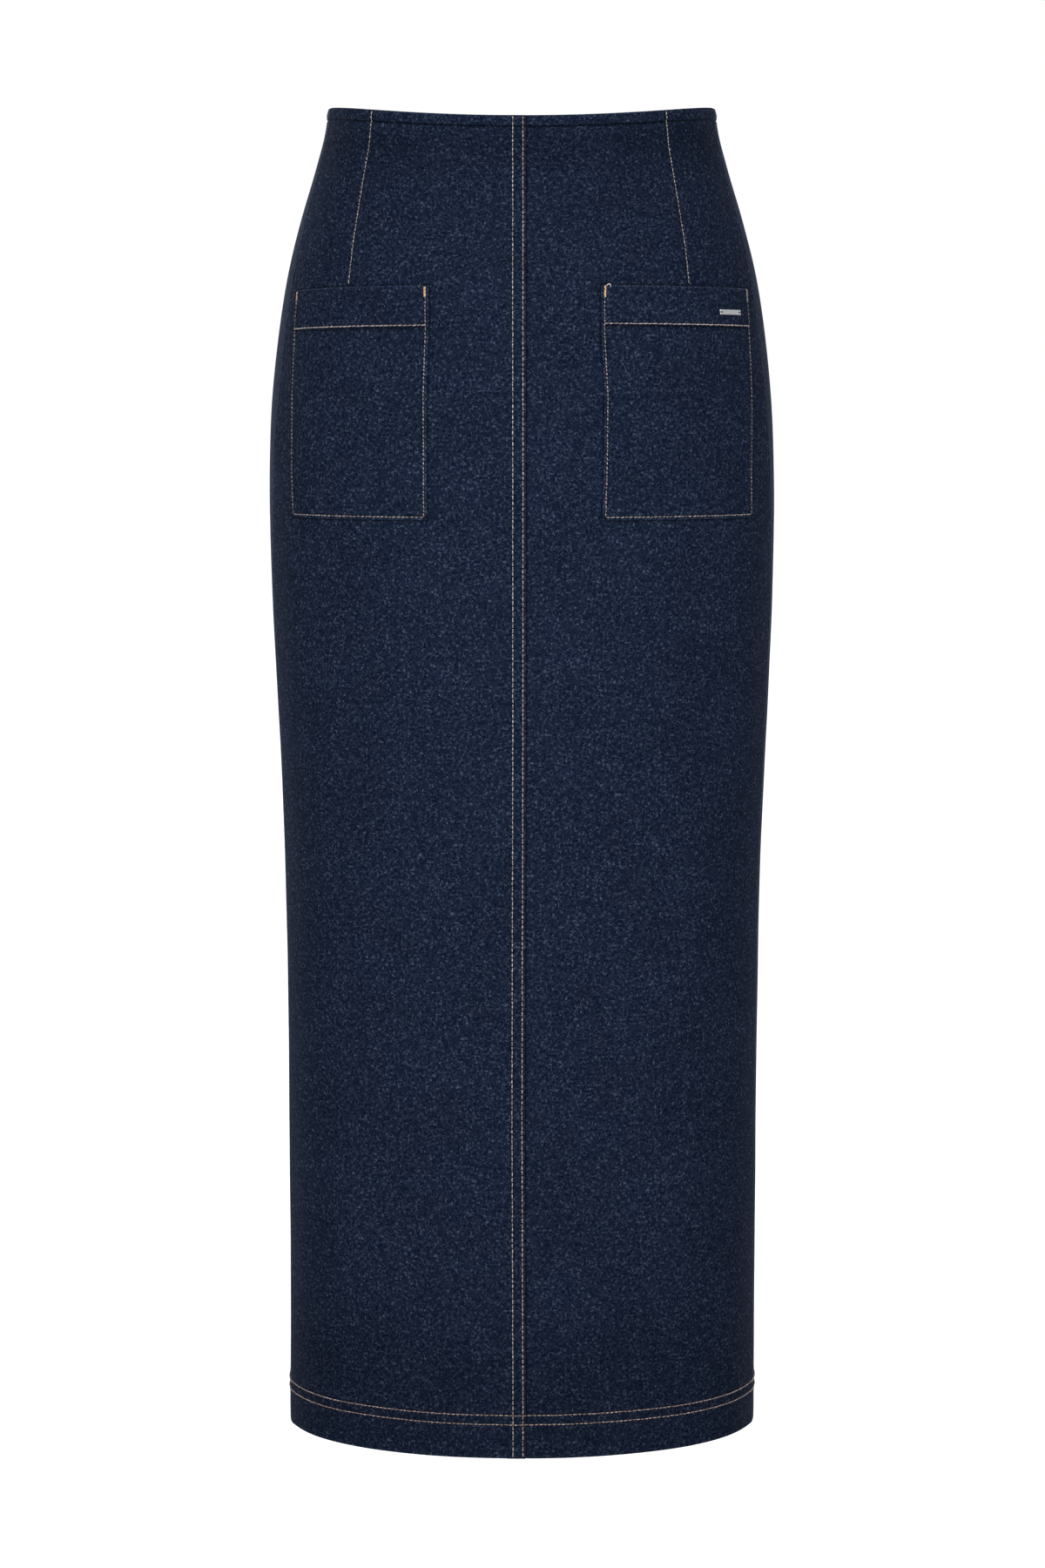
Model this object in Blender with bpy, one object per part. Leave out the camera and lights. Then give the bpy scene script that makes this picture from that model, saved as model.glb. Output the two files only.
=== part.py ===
"""Denim column maxi skirt, filled out as it is worn.

Units are metres and +Z is up.  The wearer faces -Y, so +X is on the right of
someone who looks at the front.  The origin is the middle of the waist opening,
level with the waist edge at the sides, where a wearer holds the skirt.

A place on the cloth has two numbers.  "drop" is how far it lies below the waist
level.  "round" is how far it lies round the skirt, measured along the cloth from
the middle of the front, positive towards +X and negative towards -X.
"""

import math
from functools import lru_cache

import bmesh
import bpy
import numpy as np
from mathutils import Matrix, Vector

MM = 0.001

# --- Driving sizes, in millimetres -----------------------------------------------------

LENGTH = 940.0            # waist edge at the side down to the hem edge
FRONT_DIP = 12.0          # the waist edge is this much lower at the middle of the front
DIP_FADES_BY = 120.0      # rows below this drop are level
WALL = 1.2                # one layer of denim
TURNED = 2 * WALL         # two layers, at the waist edge and the hem
SEAM_GAP = 0.36           # clear space between two panels at a seam
LAY_GAP = 0.40            # clear space under a pocket that lies on a panel
CENTRE_SEAM = 2.6         # the centre front seam is just right of the middle

# The skirt's level sections.  side_shift is how far the side seam lies in front of
# the widest point, along the cloth.
SECTION_COLUMNS = ("drop", "half_width", "front_depth", "back_depth", "squareness", "side_shift")
SECTIONS = (
    (0, 136.4, 97.5, 98, 2.10, 26),
    (14, 138.3, 99.0, 100, 2.10, 27),
    (40, 145.0, 103.5, 106, 2.12, 31),
    (75, 155.5, 109.0, 115, 2.15, 36),
    (110, 164.5, 114.0, 123, 2.17, 40),
    (150, 171.5, 117.0, 130, 2.19, 42),
    (200, 177.0, 118.5, 133, 2.20, 41),
    (250, 179.3, 118.5, 132, 2.20, 37),
    (290, 179.6, 118.0, 130, 2.20, 34),
    (345, 178.5, 117.0, 127, 2.18, 29),
    (410, 175.6, 115.5, 123, 2.15, 27),
    (480, 172.7, 114.5, 119, 2.13, 26),
    (570, 170.2, 113.5, 116, 2.11, 25),
    (660, 169.5, 113.0, 115, 2.10, 24),
    (940, 169.2, 113.0, 114, 2.08, 24),
)

# The patch pockets, which lie on the front panels.
POCKET_TOP = 125.5        # drop of the pocket mouth
POCKET_BOTTOM = 285.0     # drop of the lower edge
POCKET_BAND = 26.5        # depth of the pocket's turned top hem
POCKET_WALL = 1.2
POCKET_EDGES = {"left": (64.5, 176.3), "right": (55.0, 176.7)}   # from the middle

# The panel's wall from top to bottom: drop, and how far its outer and inner faces
# stand out from the skirt's surface.  The first rows are the rolled waist edge
# with the groove under it, and the last rows are the turned-up hem.
WALL_COLUMNS = ("drop", "outer", "inner")
ROLL = ((0.0, -1.1, -2.0), (0.9, 0.0, -TURNED), (3.2, 0.6, -TURNED), (5.6, 0.5, -TURNED),
        (7.0, -0.35, -TURNED), (8.6, 0.0, -TURNED), (16.0, 0.0, -TURNED), (16.8, 0.0, -WALL))
POCKET_MID_DROPS = (185, 220, 252)
BODY_DROPS = (26, 45, 75, 105, POCKET_TOP, POCKET_TOP + POCKET_BAND, *POCKET_MID_DROPS,
              POCKET_BOTTOM, 335, 400, 470, 560, 660, 780, LENGTH - 34)
HEM = ((LENGTH - 33.0, 0.0, -TURNED), (LENGTH - 1.0, 0.0, -TURNED), (LENGTH, -0.6, -1.8))

SIDES = {"left": -1.0, "right": 1.0}
SEAM_MARGIN = 6.0         # least distance of a pocket's line from the side seam
FRONT_INNER_STEPS = 3     # columns from the centre seam to the pocket
FRONT_POCKET_STEPS = 7    # columns across the pocket
FRONT_OUTER_STEPS = 3     # columns from the pocket to the side seam
BACK_STEPS = 14           # columns across a back panel

# The concealed zip in the centre back seam.
ZIP_LENGTH = 205.0
ZIP_TAPE_WIDTH = 11.0
TAPE_GAP_HALF = 0.25
ZIP_TAPE_OUTER = -2.85    # the tape lies inside the turned waist edge
ZIP_TAPE_INNER = -3.75
NOTCH_HALF = 1.45         # the seam's edges part this much each side at the slider
NOTCH_END = 17.0          # drop where the parted edges start to close
NOTCH_CLOSED = 26.0
ZIP_TAPE_DROPS = (3.2, 16.0, NOTCH_CLOSED, 45, 75, 105, 152, ZIP_LENGTH)
SLIDER_DROP = 13.0        # drop of the pull's hinge
HINGE_OUT = 2.1           # the hinge stands this far outside the cloth
PLATE_HALF = 0.8          # half the thickness of the slider's upright plate
PLATE_LOBE = 2.1          # outer radius of the plate round the hinge hole
HINGE_HOLE = 1.0          # radius
HINGE_PIN = 0.65          # radius
SLIDER_BODY = (7.0, 2.4, 9.0)     # across, through, along
SLIDER_BODY_OUTER = -6.1          # its outer face, measured from the hinge
PULL_THICK = 1.2
PULL_LENGTH = 20.0
PULL_TOP_HALF = 2.3
PULL_END_HALF = 2.9
PULL_SLOT_HALF = 1.15
PULL_SLOT_DEPTH = 3.0
PULL_TOP = 1.3

# The small plain metal bar on the right pocket's band.
BAR_ROUND = 152.0         # its middle, from the middle of the front
BAR_DROP = 142.7
BAR_SIZE = (21.0, 0.8, 3.6)       # along, through, high
BAR_HOLE = 0.65           # radius
BAR_HOLE_INSET = 1.9
BAR_GAP = 0.35
GUIDE_LENGTH = 4.0        # a hole's guide reaches through its piece

# --- Finishes --------------------------------------------------------------------------

DENIM = ("denim", (0.0137, 0.0196, 0.0395), 0.9, 0.0)
ZIP_TAPE = ("zip_tape", (0.0104, 0.0144, 0.0273), 0.85, 0.0)
NICKEL = ("nickel", (0.62, 0.62, 0.63), 0.28, 1.0)


def material(finish):
    """Return the Principled material of this finish, made once."""
    name, colour, roughness, metallic = finish
    found = bpy.data.materials.get(name)
    if found:
        return found
    made = bpy.data.materials.new(name)
    made.use_nodes = True
    shader = made.node_tree.nodes["Principled BSDF"]
    shader.inputs["Base Color"].default_value = (*colour, 1.0)
    shader.inputs["Roughness"].default_value = roughness
    shader.inputs["Metallic"].default_value = metallic
    return made


def new_object(name, mesh, finish):
    """Link an object that shows this mesh in its finish."""
    thing = bpy.data.objects.new(name, mesh)
    thing.data.materials.append(material(finish))
    bpy.context.scene.collection.objects.link(thing)
    return thing


# --- The skirt's surface ---------------------------------------------------------------

def section(column, drop):
    """Read one column of SECTIONS at this drop, on a smooth curve through its rows.

    Between two rows the curve is a cubic, whose slope at each row is the slope
    of the parabola through that row and its neighbours.
    """
    table = np.array(SECTIONS, dtype=float)
    stops = table[:, 0]
    values = table[:, SECTION_COLUMNS.index(column)]
    slopes = np.gradient(values, stops)
    drop = min(max(drop, stops[0]), stops[-1])
    row = min(int(np.searchsorted(stops, drop, side="right")) - 1, len(stops) - 2)
    width = stops[row + 1] - stops[row]
    t = (drop - stops[row]) / width
    start = (1 + 2 * t) * (1 - t) ** 2 * values[row] + t * (1 - t) ** 2 * width * slopes[row]
    end = t * t * (3 - 2 * t) * values[row + 1] - t * t * (1 - t) * width * slopes[row + 1]
    return start + end


@lru_cache(maxsize=None)
def half_ring(drop, points=721):
    """Return x, y and the distance along the ring from mid front to mid back, at +X.

    Front and back are quarters of a superellipse: |x/width|^n + |y/depth|^n = 1.
    """
    width = section("half_width", drop)
    power = 2.0 / section("squareness", drop)
    angle = np.linspace(0.0, math.pi, points)
    depth = np.where(angle <= math.pi / 2, section("front_depth", drop), section("back_depth", drop))
    sine = np.abs(np.sin(angle))
    cosine = np.cos(angle)
    x = width * sine ** power
    y = -depth * np.sign(cosine) * np.abs(cosine) ** power
    steps = np.hypot(np.diff(x), np.diff(y))
    return x, y, np.concatenate(([0.0], np.cumsum(steps)))


def half_girth(drop):
    """Distance along the cloth from the middle of the front to the middle of the back."""
    return half_ring(drop)[2][-1]


def side_seam(drop):
    """Distance of the side seam from the middle of the front."""
    x, _, along = half_ring(drop)
    return along[int(np.argmax(x))] - section("side_shift", drop)


def dipped(drop, distance):
    """Lower a drop near the waist edge at the front, where the edge dips."""
    x, y, along = half_ring(max(drop, 0.0))
    depth = np.interp(abs(distance), along, y) / y[0]
    fade = max(0.0, 1.0 - drop / DIP_FADES_BY)
    return drop + FRONT_DIP * max(depth, 0.0) ** 2 * fade


def skin(distance, drop, out):
    """Return the world point at this distance round and drop, moved straight out."""
    low = dipped(drop, distance)
    x, y, along = half_ring(low)
    normal_x = np.gradient(y, along)
    normal_y = -np.gradient(x, along)
    away = abs(distance)
    side = math.copysign(1.0, distance)
    nx = np.interp(away, along, normal_x)
    ny = np.interp(away, along, normal_y)
    size = math.hypot(nx, ny)
    px = np.interp(away, along, x) + out * nx / size
    py = np.interp(away, along, y) + out * ny / size
    return Vector((side * px * MM, py * MM, -low * MM))


# --- Walls of cloth --------------------------------------------------------------------

def wall(name, rows, columns, finish):
    """Make a closed wall of cloth.

    rows hold WALL_COLUMNS from top to bottom.  columns are functions that give the
    distance round at a drop, in order from one side edge to the other.
    """
    mesh = bpy.data.meshes.new(name)
    shape = bmesh.new()
    grids = {}
    for face in WALL_COLUMNS[1:]:
        place = WALL_COLUMNS.index(face)
        grids[face] = [[shape.verts.new(skin(column(row[0]), row[0], row[place])) for column in columns]
                       for row in rows]
    outer = grids["outer"]
    inner = grids["inner"]
    last_row = len(rows) - 1
    last_column = len(columns) - 1
    for r in range(last_row):
        for c in range(last_column):
            shape.faces.new((outer[r][c], outer[r + 1][c], outer[r + 1][c + 1], outer[r][c + 1]))
            shape.faces.new((inner[r][c], inner[r][c + 1], inner[r + 1][c + 1], inner[r + 1][c]))
    for r in range(last_row):
        for c in (0, last_column):
            shape.faces.new((outer[r][c], inner[r][c], inner[r + 1][c], outer[r + 1][c]))
    for c in range(last_column):
        for r in (0, last_row):
            shape.faces.new((outer[r][c], outer[r][c + 1], inner[r][c + 1], inner[r][c]))
    bmesh.ops.recalc_face_normals(shape, faces=shape.faces)
    shape.to_mesh(mesh)
    shape.free()
    mesh.shade_smooth()
    mesh.set_sharp_from_angle(angle=math.radians(40))
    return new_object(name, mesh, finish)


def panel_rows():
    """The rows of a full panel, from the waist edge to the hem edge."""
    body = tuple((drop, 0.0, -WALL) for drop in BODY_DROPS)
    return ROLL + body + HEM


def spread(start, end, steps):
    """Evenly spaced shares from start to end, both kept."""
    return [start + (end - start) * step / steps for step in range(steps + 1)]


def clear_of_seam(drop, outer):
    """Draw a line of the front in where the panel narrows to the waist."""
    return min(outer, side_seam(drop) - SEAM_MARGIN)


def across_pocket(side):
    """Columns over the pocket, from its inner to its outer edge."""
    inner, outer = POCKET_EDGES[side]
    return [lambda drop, share=share: inner + share * (clear_of_seam(drop, outer) - inner)
            for share in spread(0.0, 1.0, FRONT_POCKET_STEPS)]


def mirrored(columns, side):
    """Turn distances from the middle into signed ones, for this side."""
    sign = SIDES[side]
    return [lambda drop, column=column: sign * column(drop) for column in columns]


def front_panel(side):
    """Front panel: its columns pass through both edges of its pocket."""
    centre = SIDES[side] * CENTRE_SEAM + SEAM_GAP / 2
    inner, outer = POCKET_EDGES[side]
    columns = [lambda drop, at=at: at for at in spread(centre, inner, FRONT_INNER_STEPS)[:-1]]
    columns += across_pocket(side)
    for share in spread(0.0, 1.0, FRONT_OUTER_STEPS)[1:]:
        def column(drop, share=share):
            start = clear_of_seam(drop, outer)
            return start + share * (side_seam(drop) - SEAM_GAP / 2 - start)
        columns.append(column)
    return wall("front_" + side, panel_rows(), mirrored(columns, side), DENIM)


def notch(drop):
    """How far each edge of the centre back seam is parted for the zip's slider."""
    return NOTCH_HALF * min(max((NOTCH_CLOSED - drop) / (NOTCH_CLOSED - NOTCH_END), 0.0), 1.0)


def back_panel(side):
    """Back panel, from the centre back seam round to the side seam."""
    columns = []
    for share in spread(0.0, 1.0, BACK_STEPS):
        def column(drop, share=share):
            centre = half_girth(drop) - SEAM_GAP / 2 - notch(drop)
            seam = side_seam(drop) + SEAM_GAP / 2
            return centre + share * (seam - centre)
        columns.append(column)
    return wall("back_" + side, panel_rows(), mirrored(columns, side), DENIM)


def pocket(side):
    """Patch pocket: the front panel's own points, moved out, with a doubled top band."""
    inner = LAY_GAP
    single = inner + POCKET_WALL
    double = inner + 2 * POCKET_WALL
    band_end = POCKET_TOP + POCKET_BAND
    rows = ((POCKET_TOP, single, inner), (POCKET_TOP + 1.0, double, inner),
            (band_end - 0.8, double, inner), (band_end, single, inner))
    rows += tuple((drop, single, inner) for drop in (*POCKET_MID_DROPS, POCKET_BOTTOM))
    return wall("pocket_" + side, rows, mirrored(across_pocket(side), side), DENIM)


# --- The zip in the centre back seam ---------------------------------------------------

def zip_tape(side):
    """One half of the closed zip, flat inside the centre back seam."""
    rows = [(drop, ZIP_TAPE_OUTER, ZIP_TAPE_INNER) for drop in ZIP_TAPE_DROPS]

    def toothed(drop):
        return half_girth(drop) - TAPE_GAP_HALF - notch(drop)

    def free(drop):
        return half_girth(drop) - ZIP_TAPE_WIDTH

    return wall("zip_tape_" + side, rows, mirrored((toothed, free), side), ZIP_TAPE)


def hinge_frame():
    """World matrix of the pull's hinge: X along its pin, Y out of the cloth, Z up along it."""
    half_slider = SLIDER_BODY[2] / 2
    high = SLIDER_DROP - half_slider
    low = SLIDER_DROP + half_slider
    above = skin(half_girth(high), high, 0.0)
    below = skin(half_girth(low), low, 0.0)
    slope = math.atan2(below.y - above.y, above.z - below.z)
    turn = Matrix.Rotation(slope, 4, "X")
    middle = skin(half_girth(SLIDER_DROP), SLIDER_DROP, 0.0)
    middle.x = 0.0
    return Matrix.Translation(middle + turn @ Vector((0.0, HINGE_OUT * MM, 0.0))) @ turn


def prism(name, outline, thickness, axis, finish):
    """Extrude an outline to this thickness along X or Y, centred on the other axes.

    The outline's first number is Y for axis X, or X for axis Y; its second is Z.
    """
    mesh = bpy.data.meshes.new(name)
    shape = bmesh.new()
    half = thickness / 2
    rims = []
    for end in (-half, half):
        if axis == "X":
            rim = [shape.verts.new((end * MM, a * MM, z * MM)) for a, z in outline]
        else:
            rim = [shape.verts.new((a * MM, end * MM, z * MM)) for a, z in outline]
        rims.append(rim)
        shape.faces.new(rim)
    count = len(outline)
    for i in range(count):
        j = (i + 1) % count
        shape.faces.new((rims[0][i], rims[0][j], rims[1][j], rims[1][i]))
    bmesh.ops.recalc_face_normals(shape, faces=shape.faces)
    shape.to_mesh(mesh)
    shape.free()
    return new_object(name, mesh, finish)


def arc(centre_a, centre_z, radius, start, end, steps):
    """Points on an arc; angles are in degrees from the first axis towards Z."""
    angles = [math.radians(start + (end - start) * i / steps) for i in range(steps + 1)]
    return [(centre_a + radius * math.cos(a), centre_z + radius * math.sin(a)) for a in angles]


def round_bar(name, radius, length, axis, places=((0.0, 0.0, 0.0),)):
    """Cylinders along an axis, in one guide object that shapes its neighbour."""
    mesh = bpy.data.meshes.new(name)
    shape = bmesh.new()
    turn = {"X": Matrix.Rotation(math.pi / 2, 4, "Y"), "Y": Matrix.Rotation(math.pi / 2, 4, "X")}
    for place in places:
        matrix = Matrix.Translation(Vector(place) * MM) @ turn[axis]
        bmesh.ops.create_cone(shape, cap_ends=True, segments=16, radius1=radius * MM,
                              radius2=radius * MM, depth=length * MM, matrix=matrix)
    shape.to_mesh(mesh)
    shape.free()
    return as_guide(new_object(name, mesh, NICKEL))


def block(name, size, centre=(0.0, 0.0, 0.0)):
    """A box with its size in its mesh."""
    mesh = bpy.data.meshes.new(name)
    shape = bmesh.new()
    matrix = Matrix.Translation(Vector(centre) * MM) @ Matrix.Diagonal(Vector((*size, 1.0 / MM)) * MM)
    bmesh.ops.create_cube(shape, size=1.0, matrix=matrix)
    shape.to_mesh(mesh)
    shape.free()
    return new_object(name, mesh, NICKEL)


def as_guide(thing):
    """Mark an object as one that only shapes others."""
    thing.hide_render = True
    thing.display_type = "WIRE"
    return thing


def combine(thing, operation, guide):
    """Add a live Boolean, with the guide held in the thing's own frame."""
    modifier = thing.modifiers.new(operation.title() + " " + guide.name, "BOOLEAN")
    modifier.operation = operation
    modifier.solver = "EXACT"
    modifier.object = guide
    guide.matrix_world = thing.matrix_world


def round_edges(thing, width, segments=2):
    """Bevel the edges of a small hard piece."""
    modifier = thing.modifiers.new("Soft edges", "BEVEL")
    modifier.width = width * MM
    modifier.segments = segments
    modifier.limit_method = "ANGLE"
    modifier.angle_limit = math.radians(50)


def zip_slider():
    """Slider: a body inside the tapes and an upright plate that holds the pull."""
    body_y = SLIDER_BODY_OUTER - SLIDER_BODY[1] / 2
    slider = block("zip_slider", SLIDER_BODY, (0.0, body_y, 0.0))
    slider.matrix_world = hinge_frame()
    round_edges(slider, 0.5)
    lobe = arc(0.0, 0.0, PLATE_LOBE, -90, 90, 10)
    outline = lobe + [(body_y, PLATE_LOBE), (body_y, -PLATE_LOBE)]
    plate = as_guide(prism("slider_plate_guide", outline, 2 * PLATE_HALF, "X", NICKEL))
    hole = round_bar("slider_hole_guide", HINGE_HOLE, GUIDE_LENGTH, "X")
    combine(slider, "UNION", plate)
    combine(slider, "DIFFERENCE", hole)
    return slider


def zip_pull():
    """Pull tab: a fork round the slider's plate, with the hinge pin across its slot."""
    foot = PULL_END_HALF - PULL_LENGTH
    tip = arc(0.0, foot, PULL_END_HALF, -180, 0, 10)
    right = [(PULL_TOP_HALF, -PULL_SLOT_DEPTH), (PULL_TOP_HALF, 0.6 * PULL_TOP),
             (PULL_TOP_HALF - 0.5, PULL_TOP), (PULL_SLOT_HALF, PULL_TOP)]
    slot = [(PULL_SLOT_HALF, -PULL_SLOT_DEPTH + 0.6), (PULL_SLOT_HALF - 0.6, -PULL_SLOT_DEPTH)]
    half = right + slot
    outline = tip + half + [(-x, z) for x, z in reversed(half)]
    pull = prism("zip_pull", outline, PULL_THICK, "Y", NICKEL)
    pull.matrix_world = hinge_frame()
    pin = round_bar("pull_pin_guide", HINGE_PIN, 2 * PULL_TOP_HALF - 0.4, "X")
    combine(pull, "UNION", pin)
    return pull


# --- The plain metal bar ---------------------------------------------------------------

def pocket_bar():
    """Small bar with a sewing hole at each end, flat on the right pocket's band."""
    length, through, high = BAR_SIZE
    cloth = LAY_GAP + 2 * POCKET_WALL
    out = cloth + BAR_GAP + through / 2
    along = skin(BAR_ROUND + length / 3, BAR_DROP, out) - skin(BAR_ROUND - length / 3, BAR_DROP, out)
    down = skin(BAR_ROUND, BAR_DROP + high, out) - skin(BAR_ROUND, BAR_DROP - high, out)
    x_axis = along.normalized()
    y_axis = x_axis.cross(down).normalized()
    z_axis = x_axis.cross(y_axis)
    bar = block("pocket_bar", BAR_SIZE)
    frame = Matrix((x_axis, y_axis, z_axis)).transposed().to_4x4()
    bar.matrix_world = Matrix.Translation(skin(BAR_ROUND, BAR_DROP, out)) @ frame
    round_edges(bar, 0.2, segments=1)
    inset = length / 2 - BAR_HOLE_INSET
    holes = round_bar("bar_holes_guide", BAR_HOLE, GUIDE_LENGTH, "Y",
                      ((-inset, 0, 0), (inset, 0, 0)))
    combine(bar, "DIFFERENCE", holes)
    return bar


def main():
    """Build the skirt's pieces."""
    for thing in list(bpy.data.objects):
        bpy.data.objects.remove(thing)
    for side in SIDES:
        front_panel(side)
        back_panel(side)
        pocket(side)
        zip_tape(side)
    zip_slider()
    zip_pull()
    pocket_bar()


main()
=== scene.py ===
# %% [markdown]
# # A denim column maxi skirt
#
# The real skirt is cut from four long panels of dark indigo denim, with two patch
# pockets on the front. This lesson starts from the part's plain solids, which fix every
# place and size, and makes the cloth, the seams, the stitches and the metal that a
# close look shows. Lengths in this file are in millimetres until the last step of each
# piece, because a maker thinks of a seam in millimetres; the meshes are in metres.

# %% Load the frame
import math

import bpy
import numpy as np
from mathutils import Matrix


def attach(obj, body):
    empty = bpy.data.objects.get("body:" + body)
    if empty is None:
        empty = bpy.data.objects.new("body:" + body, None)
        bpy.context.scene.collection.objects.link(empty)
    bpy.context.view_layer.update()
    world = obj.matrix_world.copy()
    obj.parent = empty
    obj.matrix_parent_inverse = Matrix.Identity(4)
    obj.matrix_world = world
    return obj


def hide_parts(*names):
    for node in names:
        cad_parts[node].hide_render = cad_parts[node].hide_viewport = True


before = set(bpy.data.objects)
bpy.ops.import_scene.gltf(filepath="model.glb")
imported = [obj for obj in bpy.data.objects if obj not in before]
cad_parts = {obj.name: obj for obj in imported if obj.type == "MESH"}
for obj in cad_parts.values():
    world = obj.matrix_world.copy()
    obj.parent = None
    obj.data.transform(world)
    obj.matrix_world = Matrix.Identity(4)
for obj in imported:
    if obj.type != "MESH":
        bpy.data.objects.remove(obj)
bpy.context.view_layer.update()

MM = 0.001

# %% [markdown]
# ## The form of the cloth
#
# A skirt that is filled out is a stack of level rings. Each ring is a superellipse: a
# circle that is wider than it is deep, with slightly squarer shoulders. The rings could
# be drawn as curves and lofted, but a table of a few sizes and one formula keeps every
# later piece, such as a pocket or a stitch, able to ask "where is the cloth here?".
#
# A place on the cloth has two numbers: `around`, along the cloth from the middle of the
# front, positive towards +X, and `drop`, down from the waist level.

# %% The rings
LENGTH = 940.0
FRONT_DIP = 12.0          # the waist edge is lower at the middle of the front
DIP_FADES_BY = 120.0
SECTION_COLUMNS = ("drop", "half_width", "front_depth", "back_depth", "squareness", "side_shift")
SECTIONS = np.array((
    (0, 136.4, 97.5, 98, 2.10, 26),
    (14, 138.3, 99.0, 100, 2.10, 27),
    (40, 145.0, 103.5, 106, 2.12, 31),
    (75, 155.5, 109.0, 115, 2.15, 36),
    (110, 164.5, 114.0, 123, 2.17, 40),
    (150, 171.5, 117.0, 130, 2.19, 42),
    (200, 177.0, 118.5, 133, 2.20, 41),
    (250, 179.3, 118.5, 132, 2.20, 37),
    (290, 179.6, 118.0, 130, 2.20, 34),
    (345, 178.5, 117.0, 127, 2.18, 29),
    (410, 175.6, 115.5, 123, 2.15, 27),
    (480, 172.7, 114.5, 119, 2.13, 26),
    (570, 170.2, 113.5, 116, 2.11, 25),
    (660, 169.5, 113.0, 115, 2.10, 24),
    (940, 169.2, 113.0, 114, 2.08, 24),
))


def section(column, drop):
    """A column of SECTIONS at these drops: a cubic between rows, with each row's slope
    that of the parabola through it and its neighbours."""
    stops = SECTIONS[:, 0]
    values = SECTIONS[:, SECTION_COLUMNS.index(column)]
    slopes = np.gradient(values, stops)
    drop = np.clip(drop, stops[0], stops[-1])
    row = np.clip(np.searchsorted(stops, drop, side="right") - 1, 0, len(stops) - 2)
    width = stops[row + 1] - stops[row]
    t = (drop - stops[row]) / width
    start = (1 + 2 * t) * (1 - t) ** 2 * values[row] + t * (1 - t) ** 2 * width * slopes[row]
    end = t * t * (3 - 2 * t) * values[row + 1] - t * t * (1 - t) * width * slopes[row + 1]
    return start + end


LEVEL_STEP = 2.0
RING_ANGLES = 1441        # drawn on each half ring
RING_POINTS = 1201        # kept of them, at even shares of its length
LAST_CELL = 1.001         # keeps a place at the very end inside a table's last cell
LEVELS = np.arange(0.0, LENGTH + LEVEL_STEP, LEVEL_STEP)
SHARES = np.linspace(0.0, 1.0, RING_POINTS)


def ring_tables():
    """Half rings at every level, at even shares of their length from mid front to mid back.

    x = width * sin(a)^p and y = -depth * cos(a)^p, with p = 2 / squareness, and the
    length is the running sum of the steps between neighbouring points.
    """
    drop = LEVELS[:, None]
    angle = np.linspace(0.0, math.pi, RING_ANGLES)[None, :]
    power = 2.0 / section("squareness", drop)
    depth = np.where(angle <= math.pi / 2,
                     section("front_depth", drop), section("back_depth", drop))
    x = section("half_width", drop) * np.abs(np.sin(angle)) ** power
    y = -depth * np.sign(np.cos(angle)) * np.abs(np.cos(angle)) ** power
    steps = np.hypot(np.diff(x, axis=1), np.diff(y, axis=1))
    along = np.concatenate((np.zeros_like(drop), np.cumsum(steps, axis=1)), axis=1)
    girth = along[:, -1]
    row = np.arange(len(LEVELS))[:, None]
    keys = (row * 2 + along / girth[:, None]).ravel()
    wanted = (row * 2 + SHARES[None, :]).ravel()
    shape = (len(LEVELS), len(SHARES))
    widest = along[np.arange(len(LEVELS)), np.argmax(x, axis=1)]
    return (np.interp(wanted, keys, x.ravel()).reshape(shape),
            np.interp(wanted, keys, y.ravel()).reshape(shape), girth, widest)


RING_X, RING_Y, HALF_GIRTH, WIDEST = ring_tables()
OUT_X = np.gradient(RING_Y, axis=1)
OUT_Y = -np.gradient(RING_X, axis=1)
print("half girth from", round(HALF_GIRTH.min()), "to", round(HALF_GIRTH.max()), "mm")


def half_girth(drop):
    """Length along the cloth from the middle of the front to the middle of the back."""
    return np.interp(drop, LEVELS, HALF_GIRTH)


def side_seam(drop):
    """The side seam's distance from the middle of the front."""
    return np.interp(drop, LEVELS, WIDEST) - section("side_shift", drop)


def read_table(table, level, share):
    """Four neighbours of a table, mixed by how near each one is."""
    row = np.clip(level / LEVEL_STEP, 0, len(LEVELS) - LAST_CELL)
    column = np.clip(share, 0, 1) * (len(SHARES) - LAST_CELL)
    i = row.astype(int)
    j = column.astype(int)
    f = row - i
    g = column - j
    upper = (1 - g) * table[i, j] + g * table[i, j + 1]
    lower = (1 - g) * table[i + 1, j] + g * table[i + 1, j + 1]
    return (1 - f) * upper + f * lower


def lowered(around, drop):
    """The level of a place: its drop, and near the waist the dip of the front edge,
    which fades with the square of how far forward the cloth stands."""
    level = np.maximum(drop, 0.0)
    y = read_table(RING_Y, level, np.abs(around) / half_girth(level))
    forward = np.maximum(-y / section("front_depth", level), 0.0)
    return drop + FRONT_DIP * forward ** 2 * np.maximum(0.0, 1.0 - drop / DIP_FADES_BY)


def skin(around, drop, out):
    """World points in metres of these places, moved straight out from the ring. A place
    past the middle of the back is counted on from the other side."""
    around, drop, out = np.broadcast_arrays(around, drop, out)
    around = around.astype(float)
    level = lowered(around, drop.astype(float))
    half = half_girth(level)
    share = 1 - np.abs(1 - np.abs(around) / half)
    side = np.where(around < 0, -1.0, 1.0) * np.where(np.abs(around) > half, -1.0, 1.0)
    nx = read_table(OUT_X, level, share)
    ny = read_table(OUT_Y, level, share)
    size = np.hypot(nx, ny)
    x = read_table(RING_X, level, share) + out * nx / size
    y = read_table(RING_Y, level, share) + out * ny / size
    return np.stack((side * x, y, -level), axis=-1) * MM


# %% [markdown]
# ## Drape and seams, as heights on the form
#
# Real denim is never a perfect tube. It hangs in broad soft swells, it is thicker where
# a seam's allowances lie under it, and it sinks where a row of stitches pulls it tight.
# All of that is small against the skirt, so it is a height added to the form: one
# function gives it for any place, and the panels, pockets and threads all use it, so
# that nothing floats or sinks when a number changes.

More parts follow.
